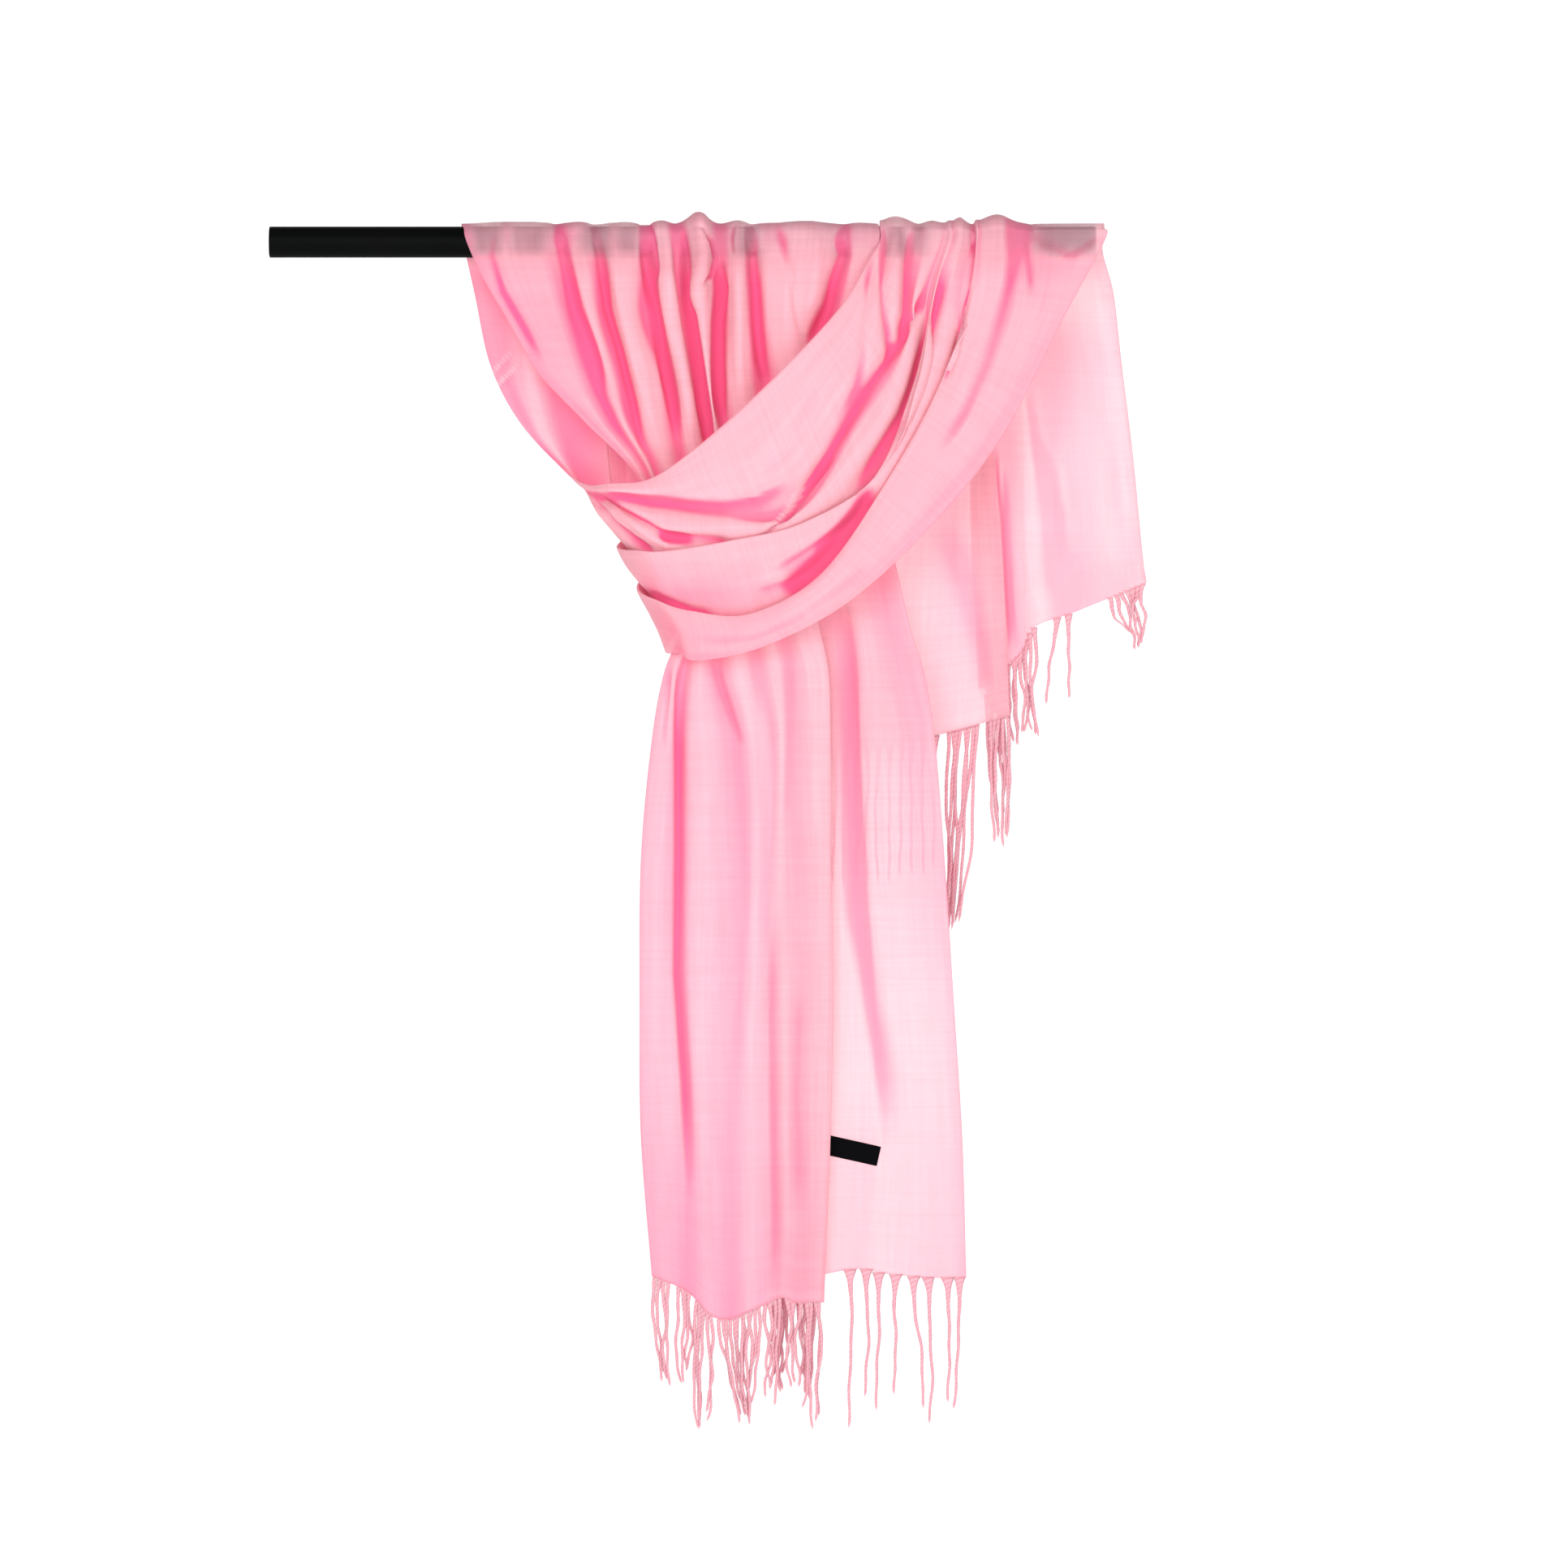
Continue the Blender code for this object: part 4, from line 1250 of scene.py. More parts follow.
@dataclass(frozen=True)
class LabelFinish(Finish):
    """Black woven tape, with fine ribs across it.

    Attributes:
        rib: Distance between the ribs, in metres.
        row_share: How much closer the ribs are together than the rows.
        painted_shade: Colour between the ribs, painted shade in the grooves.
        crest: Colour on the ribs, a painted highlight.
    """

    name: str = "black_tape"
    rib: float = 0.0006
    row_share: float = 0.7
    painted_shade: Colour = (0.001, 0.001, 0.0015, 1.0)
    crest: Colour = (0.004, 0.004, 0.005, 1.0)

    def surface(self, tree: Tree) -> Socket:
        """Tape with ribs one way and lower rows the other way.

        Args:
            tree: The material's nodes.

        Returns:
            The shader's socket.
        """
        across, along = tree.threads()
        turn = 2 * math.pi / self.rib
        ribs = tree.math("SINE", tree.math("MULTIPLY", across, turn))
        rows = tree.math("SINE", tree.math("MULTIPLY", along, turn * self.row_share))
        height = tree.math("ADD", ribs, tree.math("MULTIPLY", rows, 0.5))
        # Painted shade between the ribs and a painted highlight on them.
        share = tree.math("ADD", tree.math("MULTIPLY", ribs, 0.3), 0.5)
        tape = tree.principled(
            tree.mix(share, self.painted_shade, self.crest),
            tree.relief(height, 0.4, 0.0001),
            Roughness=0.8,
            Specular_IOR_Level=0.02,
        )
        return tape.outputs[0]


@dataclass(frozen=True)
class StudioFinish(Finish):
    """Plain pale paper, faintly lit of itself so that it stays even.

    Attributes:
        colour: The paper's colour.
        brightness: How strongly it is lit of itself.
    """

    name: str = "pale_paper"
    colour: Colour = (0.86, 0.86, 0.86, 1.0)
    brightness: float = 0.58

    def surface(self, tree: Tree) -> Socket:
        """Plain matt paper.

        Args:
            tree: The material's nodes.

        Returns:
            The shader's socket.
        """
        paper = tree.node(
            "ShaderNodeBsdfPrincipled",
            Base_Color=self.colour,
            Roughness=0.9,
            Specular_IOR_Level=0.1,
            Emission_Color=(1.0, 1.0, 1.0, 1.0),
            Emission_Strength=self.brightness,
        )
        return paper.outputs[0]


# ---- Making meshes ----
def add_object(name: str, mesh: bpy.types.Mesh) -> bpy.types.Object:
    """A new object of a mesh, in the scene, selected alone and active."""
    piece = bpy.data.objects.new(name, mesh)
    bpy.context.scene.collection.objects.link(piece)
    select_only(piece)
    return piece


def select_only(piece: bpy.types.Object) -> None:
    """Deselect everything else and make this piece active."""
    bpy.ops.object.select_all(action="DESELECT")
    piece.select_set(True)
    bpy.context.view_layer.objects.active = piece


def grid_mesh(name: str, grid: Array, uv: Array) -> bpy.types.Mesh:
    """An open surface through a grid of points, with a UV map in metres.

    Args:
        name: The mesh's name.
        grid: Points in millimetres, as rows along and columns across.
        uv: The cloth's own coordinates of each point, in metres.

    Returns:
        The mesh, smooth shaded.
    """
    rows, columns = grid.shape[:2]
    first = (np.arange(rows - 1)[:, None] * columns + np.arange(columns - 1)[None, :]).ravel()
    faces = np.stack([first, first + 1, first + columns + 1, first + columns], axis=1)
    mesh = bpy.data.meshes.new(name)
    mesh.from_pydata((grid * MM).reshape(-1, 3), [], faces)
    layer = mesh.uv_layers.new(name="threads")
    layer.data.foreach_set("uv", uv.reshape(-1, 2)[faces.ravel()].astype(np.float32).ravel())
    mesh.shade_smooth()
    return mesh


def apply_modifier(piece: bpy.types.Object, kind: str, **settings: object) -> None:
    """Add a modifier to a piece and apply it.

    Args:
        piece: The piece.
        kind: The modifier's type.
        settings: Its properties, by name.
    """
    select_only(piece)
    modifier = piece.modifiers.new(kind.lower(), kind)
    for name, value in settings.items():
        setattr(modifier, name, value)
    bpy.ops.object.modifier_apply(modifier=modifier.name)


def declare(piece: bpy.types.Object, finish: Finish, node: str) -> None:
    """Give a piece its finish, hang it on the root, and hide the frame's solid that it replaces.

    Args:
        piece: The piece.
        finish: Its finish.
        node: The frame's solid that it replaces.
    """
    piece.data.materials.clear()
    piece.data.materials.append(finish.material())
    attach(piece, "root")
    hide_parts(node)


class Held(Enum):
    """How a stretch of the cloth is held."""

    LAID = "laid"
    HUNG = "hung"
    GATHERED = "gathered"


@dataclass(frozen=True)
class Shading:
    """How the cloth's painted shade and see-through share follow its folds, in millimetres.

    Attributes:
        blur_rows: Rows over which the cloth round a place is averaged.
        full_hollow: How far below the cloth round it a fold lies for full painted shade.
        most_own: The most painted shade, or paleness on a ridge, that such a fold gives.
        full_crease: Depth of a crease that gives full painted shade.
        shut: Share of the sheerness that full painted shade takes away.
        near_rod: Heights between which the cloth comes to lie on the rod.
        patch_rise: Heights between which a patch over the rod fades in.
        patch_out: How far a patch's soft edge reaches out.
        patch_in: How far it reaches in.
        patch_wander: How far that edge wanders.
        patch_paler: How much painted shade a patch over the rod loses, so that it is paler than the
            cloth round it.
        rod_veil: Sheerness on the rod.
        patch_veil: What a patch adds to that.
        veil_change: How far that varies.
        crease_taper: Shares of a crease's length, from its end, between which it fades in.
        line_fade: How far outside and inside its folds' lines a crease fades.
    """

    blur_rows: int = 11
    full_hollow: float = 2.4
    most_own: float = 0.6
    full_crease: float = 13.0
    shut: float = 0.6
    near_rod: tuple[float, float] = (-34.0, -12.0)
    patch_rise: tuple[float, float] = (-17.0, -4.0)
    patch_out: float = 11.0
    patch_in: float = 7.0
    patch_wander: float = 5.0
    patch_paler: float = 0.45
    rod_veil: float = 0.38
    patch_veil: float = 0.5
    veil_change: float = 0.12
    crease_taper: tuple[float, float] = (-0.02, 0.22)
    line_fade: tuple[float, float] = (0.1, 0.5)


@dataclass
class Sheet:
    """One stretch of the cloth that shows.

    Attributes:
        name: The piece's name.
        node: The frame's solid that it stands for.
        stations: Points through which the cloth passes, as sections along and folds across.
        start: Where the stretch begins, in stations.
        end: Where it ends.
        rows: Sections of the finished mesh.
        per_fold: Points of the finished mesh from one fold to the next.
        held: How it is held; not used.
        creases: Soft troughs and ridges that lie on it.
        facing: 1 where the grid's normals point to the side that shows, or -1.
        turns: Fold positions where the cloth turns back on itself.
        bare: Ranges of x where a single tight layer lets the rod be seen.
        sheer: How openly the cloth shows what is behind it, at some of the folds' lines.
        sheer_down: What that is multiplied by, at some heights.
        tone: Painted shade, as how much deeper its colour is, at some of the folds' lines; below 0
            it takes painted shade away.
        tone_down: Painted shade added to that, at some heights.
        shade_left: Painted shade added to that towards the bundle's left side.
        fold_shade_share: How strongly its own folds paint shade into its colour, deeper in hollows
            and paler on ridges.
        press: The way that creases are pressed, where it isn't along the cloth's normals.
        ripple: Height of its small unevenness, in millimetres.
        seed: Chooses the small unevenness.
        rests_on: What it lies on or hangs from; not used.
        fringe: The fringe's piece that hangs from its hem; not used.
        thickness: The cloth's thickness, in millimetres.
        fine_share: Height of the finest ripples, as a share of the soft ones.
        still_edge: How far from the stretch's ends the ripples are at full height.
        least_area: The least area of the cloth, as a share of width by length; not used.
        shading: How its colour follows its folds.
        grid: Its middle surface, as rows along and columns across.
        crease_shade: The painted shade of the creases at each point of that.
        piece: The finished piece.
    """

    name: str
    node: str
    stations: Array
    start: float
    end: float
    rows: int
    per_fold: int
    held: Held
    creases: tuple[Crease, ...] = ()
    facing: float = 1.0
    turns: tuple[float, ...] = ()
    bare: tuple[tuple[float, float], ...] = ()
    sheer: tuple[tuple[float, float], ...] = ((0, 0.15), (99, 0.15))
    sheer_down: tuple[tuple[float, float], ...] = ((-999, 1.0), (0, 1.0))
    tone: tuple[tuple[float, float], ...] = ((0, 0.0), (99, 0.0))
    tone_down: tuple[tuple[float, float], ...] = ((-999, 0.0), (0, 0.0))
    shade_left: float = 0.0
    fold_shade_share: float = 1.0
    press: tuple[float, float, float] | None = None
    ripple: float = 0.5
    seed: int = 1
    rests_on: tuple[str, ...] = ()
    fringe: tuple[str, ...] = ()
    thickness: float = 0.5
    fine_share: float = 0.35
    still_edge: float = 12.0
    least_area: float = 0.3
    shading: Shading = Shading()
    grid: Array = field(init=False)
    crease_shade: Array = field(init=False)
    piece: bpy.types.Object = field(init=False)

    def build(self) -> None:
        """Make the stretch's mesh, with its creases, its thickness, its painted shade and its
        see-through share.
        """
        lines = self.stations.shape[1]
        across = np.linspace(0, lines - 1, (lines - 1) * self.per_fold + 1)
        along = np.linspace(self.start, self.end, self.rows)
        self.grid = np.einsum(
            "as,sfc,bf->abc",
            spline_weights(self.stations.shape[0], along),
            self.stations,
            spline_weights(lines, across),
        )
        self.crease_shade = np.zeros(self.grid.shape[:2])
        self.crease(across)
        self.unevenness()
        self.clear_rod()
        run_across, run_along = arc_lengths(self.grid)
        uv = np.stack(np.meshgrid(run_across * MM, run_along * MM), axis=2)
        self.piece = add_object(self.name, grid_mesh(self.name, self.grid, uv))
        apply_modifier(self.piece, "SOLIDIFY", thickness=self.thickness * MM, offset=0.0)
        normals = grid_normals(self.grid)
        # Painted shade from the folds and creases, with more painted shade by line and by height.
        painted_shade = self.fold_shades(across, normals)
        x, patch = self.rod_patches()
        self.mark("painted_shade", self.walls(normals) * np.clip(painted_shade, -1, 1), self.tones(across, patch))
        self.mark("veil", np.zeros_like(patch), self.veils(across, painted_shade, x, patch))

    def clear_rod(self) -> None:
        """Keep the cloth off the rod."""
        y, z = self.grid[..., 1], self.grid[..., 2]
        reach = np.hypot(y, z)
        held_off = (z > LEAST_RADIUS_FROM) & (reach < LEAST_RADIUS)
        push = np.where(held_off, LEAST_RADIUS / np.maximum(reach, TINY), 1.0)
        self.grid = self.grid * np.stack([np.ones_like(push), push, push], axis=2)

    def fold_shades(self, across: Array, normals: Array) -> Array:
        """Painted shade of each point from its folds and creases, seen from its normal's side.

        Args:
            across: The fold position of each column.
            normals: The points' normals.

        Returns:
            1 or more for full painted shade in a deep fold, and below 0 on a ridge.
        """
        rule = self.shading
        borders = [0] + [round(turn * self.per_fold) for turn in self.turns] + [len(across)]
        smooth = np.concatenate(
            [
                blurred(self.grid[:, start:end], rule.blur_rows, 2 * self.per_fold + 1)
                for start, end in zip(borders, borders[1:])
            ],
            axis=1,
        )
        own = np.einsum("abc,abc->ab", smooth - self.grid, normals) / rule.full_hollow
        own = np.clip(own, -rule.most_own, rule.most_own) * self.fold_shade_share
        return own + self.crease_shade * self.facing

    def rod_patches(self) -> tuple[Array, Array]:
        """Where a single tight layer lets the rod be seen.

        Returns:
            Each point's x with the wandering of the patches' edges, and how far it is in one.
        """
        rule, z = self.shading, self.grid[..., 2]
        wander = PATCH_WANDER.heights(self.grid[..., 0], z, self.seed)
        x = self.grid[..., 0] + rule.patch_wander * wander
        patch = np.zeros_like(z)
        for low, high in self.bare:
            inside = soft_step(x, low - rule.patch_out, low + rule.patch_in)
            inside = inside * (1 - soft_step(x, high - rule.patch_in, high + rule.patch_out))
            patch = np.maximum(patch, inside)
        return x, patch * soft_step(z, *rule.patch_rise)

    def veils(self, across: Array, painted_shade: Array, x: Array, patch: Array) -> Array:
        """How openly each point shows what is behind it.

        Args:
            across: The fold position of each column.
            painted_shade: The painted shade of each point, which also makes a fold less sheer.
            x: Each point's x with the wandering of the patches' edges.
            patch: How far each point is in a patch over the rod.

        Returns:
            A share from 0 to 1 for each point.
        """
        rule, z = self.shading, self.grid[..., 2]
        sheer = np.interp(across, *zip(*self.sheer))[None, :] * np.interp(z, *zip(*self.sheer_down))
        sheer = sheer * (1 - rule.shut * np.clip(painted_shade * self.facing, 0, 1))
        bare = rule.rod_veil + rule.patch_veil * patch
        bare = bare + rule.veil_change * ROD_CHANGE.heights(x, z, self.seed)
        return sheer + soft_step(z, *rule.near_rod) * (bare - sheer)

    def tones(self, across: Array, patch: Array) -> Array:
        """Painted shade by line, height and the bundle's left side, on both of the cloth's faces.

        Args:
            across: The fold position of each column.
            patch: How far each point is in a patch over the rod.

        Returns:
            What is added to the points' painted shade.
        """
        z = self.grid[..., 2]
        # Painted shade by the folds' lines and by height, and towards the bundle's left side; a
        # patch over the rod gets less.
        tone = np.interp(across, *zip(*self.tone))[None, :] + np.interp(z, *zip(*self.tone_down))
        tone = tone + self.shade_left * (1 - soft_step(self.grid[..., 0], *SHADED_LEFT))
        return tone - self.shading.patch_paler * patch

    def walls(self, normals: Array) -> Array:
        """On which side of the middle surface the two walls' points lie.

        Args:
            normals: The middle surface's normals.

        Returns:
            1 or -1 for each point of each wall.
        """
        count = self.grid.shape[0] * self.grid.shape[1]
        places = np.zeros(len(self.piece.data.vertices) * 3)
        self.piece.data.vertices.foreach_get("co", places)
        places = places.reshape(-1, 3)[: 2 * count].reshape(2, count, 3) / MM
        middle = self.grid.reshape(1, -1, 3)
        side = np.einsum("swc,wc->sw", places - middle, normals.reshape(-1, 3))
        return np.sign(side).reshape(2, *self.grid.shape[:2])

    def mark(self, name: str, turned: Array, plain: Array) -> None:
        """Write a value to each point of both walls, for the finish to read.

        Args:
            name: The attribute's name.
            turned: A part that may differ between the walls.
            plain: A part that is the same on both.
        """
        marks = np.zeros(len(self.piece.data.vertices), dtype=np.float32)
        both = np.broadcast_to(turned, (2, *plain.shape))
        marks[: 2 * plain.size] = both.ravel()
        marks[: 2 * plain.size] += np.tile(plain.ravel(), 2)
        layer = self.piece.data.attributes.new(name, "FLOAT", "POINT")
        layer.data.foreach_set("value", marks)

    def crease(self, across: Array) -> None:
        """Press each crease into the cloth along its normals, and paint shade along it.

        Args:
            across: The fold position of each column.
        """
        rule = self.shading
        outside, inside = rule.line_fade
        for crease in self.creases:
            normals = grid_normals(self.grid) if self.press is None else np.array(self.press)
            away, share = near_path(self.grid[..., 0], self.grid[..., 2], crease.points)
            taper = soft_step(np.minimum(share, 1 - share), *rule.crease_taper)
            first, last = crease.lines
            on_lines = soft_step(across, first - outside, first + inside)
            on_lines = on_lines * (1 - soft_step(across, last - inside, last + outside))
            width = np.where(away > 0, crease.width * crease.skew, crease.width)
            shape = np.exp(-((away / width) ** 2)) * taper * on_lines[None, :]
            push = crease.depth * shape
            self.grid = self.grid + normals * push[..., None] * self.facing
            # Painted shade: deeper colour under each trough, and more along the crease by its own
            # share.
            deeper = np.maximum(-push, 0) / rule.full_crease + crease.extra_shade * shape
            self.crease_shade = self.crease_shade + deeper

    def unevenness(self) -> None:
        """Small soft ripples, long in the way that the cloth hangs."""
        run_across, run_along = arc_lengths(self.grid)
        v, u = np.meshgrid(run_along, run_across, indexing="ij")
        low = LOW_RIPPLE.heights(u, v, self.seed)
        fine = FINE_RIPPLE.heights(u, v, self.seed)
        edge = np.minimum(np.minimum(v, v.max() - v) / self.still_edge, 1.0)
        push = self.ripple * (low + self.fine_share * fine) * edge
        self.grid = self.grid + grid_normals(self.grid) * push[..., None]

    def dress(self, finish: ClothFinish) -> None:
        """Args:
            finish: The cloth's finish.
        """
        declare(self.piece, finish, self.node)


def fan_sheet() -> Sheet:
    """The gathered fan on the front of the rod."""
    stations = fan_stations()
    return Sheet(
        "fan_cloth", "fan", stations, 0, len(stations) - 1, 170, 16, Held.GATHERED, FAN_CREASES,
        bare=((148, 173), (178, 206), (235, 254), (258, 273), (345, 355)),
        # Painted shade, deeper towards the fan's right, and towards the bundle's left side.
        tone=((0, 0.0), (8, 0.06), (16, 0.14)), shade_left=0.4,
        ripple=0.45, seed=3, rests_on=("rod",),
    )


def tail_sheet() -> Sheet:
    """The long tail in front."""
    stations = tail_stations()
    return Sheet(
        "tail_cloth", "tail", stations, 0, len(stations) - 1, 190, 13, Held.HUNG, TAIL_CREASES,
        facing=-1.0, turns=turn_places(TAIL) + (13.6,),
        sheer=((0, 0.2), (12.4, 0.2), (12.8, 0.7), (14.5, 0.74), (16.6, 0.74), (17, 0.45)),
        sheer_down=((-640, 1.0), (-560, 0.95), (-360, 0.5), (0, 0.4)),
        # Painted shade by line and by height: deeper on the left layer and at the bottom, less on
        # the right layer; its own folds paint less shade.
        tone=((0, 0.22), (4, 0.12), (6, -0.08), (12, -0.06), (12.8, -0.28), (17, -0.05)),
        tone_down=((-800, 0.2), (-690, 0.08), (-600, -0.04), (-450, 0.0), (0, 0.0)),
        fold_shade_share=0.55, ripple=0.25, seed=5, rests_on=("fan",), fringe=("fringe_tail_yarn",),
    )


def back_sheet() -> Sheet:
    """The stretch behind, from the rod to the turn on the left."""
    stations = wrap_stations()
    return Sheet(
        "back_cloth", "back_stretch", stations, 0, len(BACK) + TURN_SEAM, 90, 12, Held.GATHERED,
        BACK_CREASES, shade_left=0.35, press=(0.0, 1.0, 0.0), ripple=0.4, seed=7, rests_on=("rod",),
    )


def sling_sheet() -> Sheet:
    """The stretch that rises across the front and goes over the rod."""
    stations = wrap_stations()
    return Sheet(
        "sling_cloth", "sling", stations, len(BACK) + TURN_SEAM, len(stations) - 1, 220, 14,
        Held.GATHERED, SLING_CREASES, turns=turn_places(WRAP),
        bare=((457, 467), (478, 486), (570, 614)),
        sheer=((0, 0.15), (12, 0.15), (13.5, 0.3), (15, 0.45)),
        # Painted shade on the sling's lower bands, and towards the bundle's left side.
        tone=((0, 0.0), (6, 0.0), (7.5, 0.18), (12, 0.18), (15, 0.1)), shade_left=0.4,
        ripple=0.4, seed=9, rests_on=("rod",),
    )


def flap_sheet() -> Sheet:
    """The short end behind the rod."""
    stations = flap_stations()
    return Sheet(
        "flap_cloth", "flap", stations, 0, len(stations) - 1, 130, 13, Held.HUNG, FLAP_CREASES,
        facing=-1.0, turns=turn_places(FLAP) + (9.7,),
        sheer=((0, 0.62), (8.5, 0.62), (10.7, 0.6), (11.5, 0.85), (12.6, 0.87), (13, 0.5)),
        # Painted shade taken away from most of the flap, and added at its narrow panel.
        tone=(
            (0, -0.4), (7.5, -0.35), (8.5, 0.0), (10, 0.15), (10.8, 0.1), (11.4, -0.3), (13, -0.3),
        ),
        ripple=0.35, seed=11, rests_on=("rod",), fringe=("fringe_flap_yarn",),
    )


@dataclass(frozen=True)
class Strand:
    """How one twisted strand is formed, in millimetres.

    Attributes:
        rings: Rings of points down it.
        sides: Points of a ring.
        dense: Above 1, how much closer the rings are together at its root.
        radius: Half its thickness below its root.
        tip_radius: Half its thickness above its end.
        end_radius: Half its thickness at its very end.
        sunk: How far its root reaches up into the hem.
        sweep: Above 1, how late it starts sideways to its tip.
        root_reach: The most that its root spreads along the hem to each side.
        root_fade: How far down that spread reaches.
        root_steep: How sharply it ends.
        cloth_half: Half its root's thickness at the hem.
        flat_fade: How far down the root is flat.
        bend: Its large bend to a side.
        waves: Height, waves and start of its large waves.
        kinks: The same of its small kinks.
        depth_waves: The same of its waves to the front and back.
        lumps: The same of its thickness, as a share, with a wave's length over 2 pi.
    """

    rings: int = 34
    sides: int = 8
    dense: float = 1.15
    radius: float = 1.35
    tip_radius: float = 0.95
    end_radius: float = 0.12
    sunk: float = 0.6
    sweep: float = 1.25
    root_reach: float = 6.0
    root_fade: float = 6.5
    root_steep: float = 1.1
    cloth_half: float = 0.3
    flat_fade: float = 4.0
    bend: float = 1.6
    waves: tuple[float, float, float] = (1.5, 6.5, 3.0)
    kinks: tuple[float, float, float] = (0.5, 19.0, 9.0)
    depth_waves: tuple[float, float, float] = (1.0, 5.0, 3.0)
    lumps: tuple[float, float, float] = (0.08, 1.9, 5.0)

    def middle(
        self, root: Array, tip: Array, bow: float, sway: Array
    ) -> tuple[Array, Array]:
        """The strand's middle line.

        Args:
            root: Where it leaves the hem.
            tip: Where it ends.
            bow: How strongly it bends and waves.
            sway: Four random numbers between -1 and 1.

        Returns:
            The line's points, and their distances down it.
        """
        share = np.linspace(0, 1, self.rings) ** self.dense
        line = root[None, :] + np.outer(share**self.sweep, [tip[0] - root[0], 0, 0])
        line = line + np.outer(share, [0, tip[1] - root[1], 0])
        line[:, 2] = root[2] + self.sunk + (tip[2] - root[2] - self.sunk) * share
        belly = share * (1 - share) * 4
        height, count, start = self.waves
        bends = self.bend * sway[0] + height * sway[1] * np.sin(count * share + sway[2] * start)
        line[:, 0] += belly * bow * bends
        height, count, start = self.kinks
        line[:, 0] += np.sqrt(share) * height * np.sin(count * share + sway[3] * start)
        height, count, start = self.depth_waves
        wave = height * np.sin(count * share + sway[1] * start)
        line[:, 1] += belly * bow * sway[3] * wave
        return line, share * np.linalg.norm(tip - root)

    def around(
        self, line: Array, down: Array, tangent: Array, pitch: float, lump: float
    ) -> tuple[Array, Array]:
        """Rings of points round the strand's middle line.

        Args:
            line: The line's points.
            down: Their distances down it.
            tangent: The hem's direction at its root.
            pitch: Distance to the next strand, which its flat root spans.
            lump: A random number between -1 and 1.

        Returns:
            The rings' points, and their places round and down the strand in metres.
        """
        share = down / max(down[-1], TINY)
        height, length, start = self.lumps
        thin = self.radius + (self.tip_radius - self.radius) * share
        thin = thin * (1 + height * np.sin(down / length + start * lump))
        thin[-1] = self.end_radius
        spread = max(0.0, min(pitch / 2, self.root_reach) - self.radius)
        wide = thin + spread * np.exp(-((down / self.root_fade) ** self.root_steep))
        squeeze = self.radius - self.cloth_half
        flat = thin - squeeze * np.exp(-((down / self.flat_fade) ** 2))
        level = np.array([tangent[0], tangent[1], 0.0])
        level = level / max(np.linalg.norm(level), TINY)
        out = np.array([-level[1], level[0], 0.0])
        turns = np.linspace(0, 2 * math.pi, self.sides, endpoint=False)
        rings = (
            line[:, None, :]
            + wide[:, None, None] * np.cos(turns)[None, :, None] * level
            + flat[:, None, None] * np.sin(turns)[None, :, None] * out
        )
        round_share = np.broadcast_to(turns / (2 * math.pi), (self.rings, self.sides))
        along = np.broadcast_to((down * MM)[:, None], (self.rings, self.sides))
        return rings, np.stack([round_share, along], axis=2)


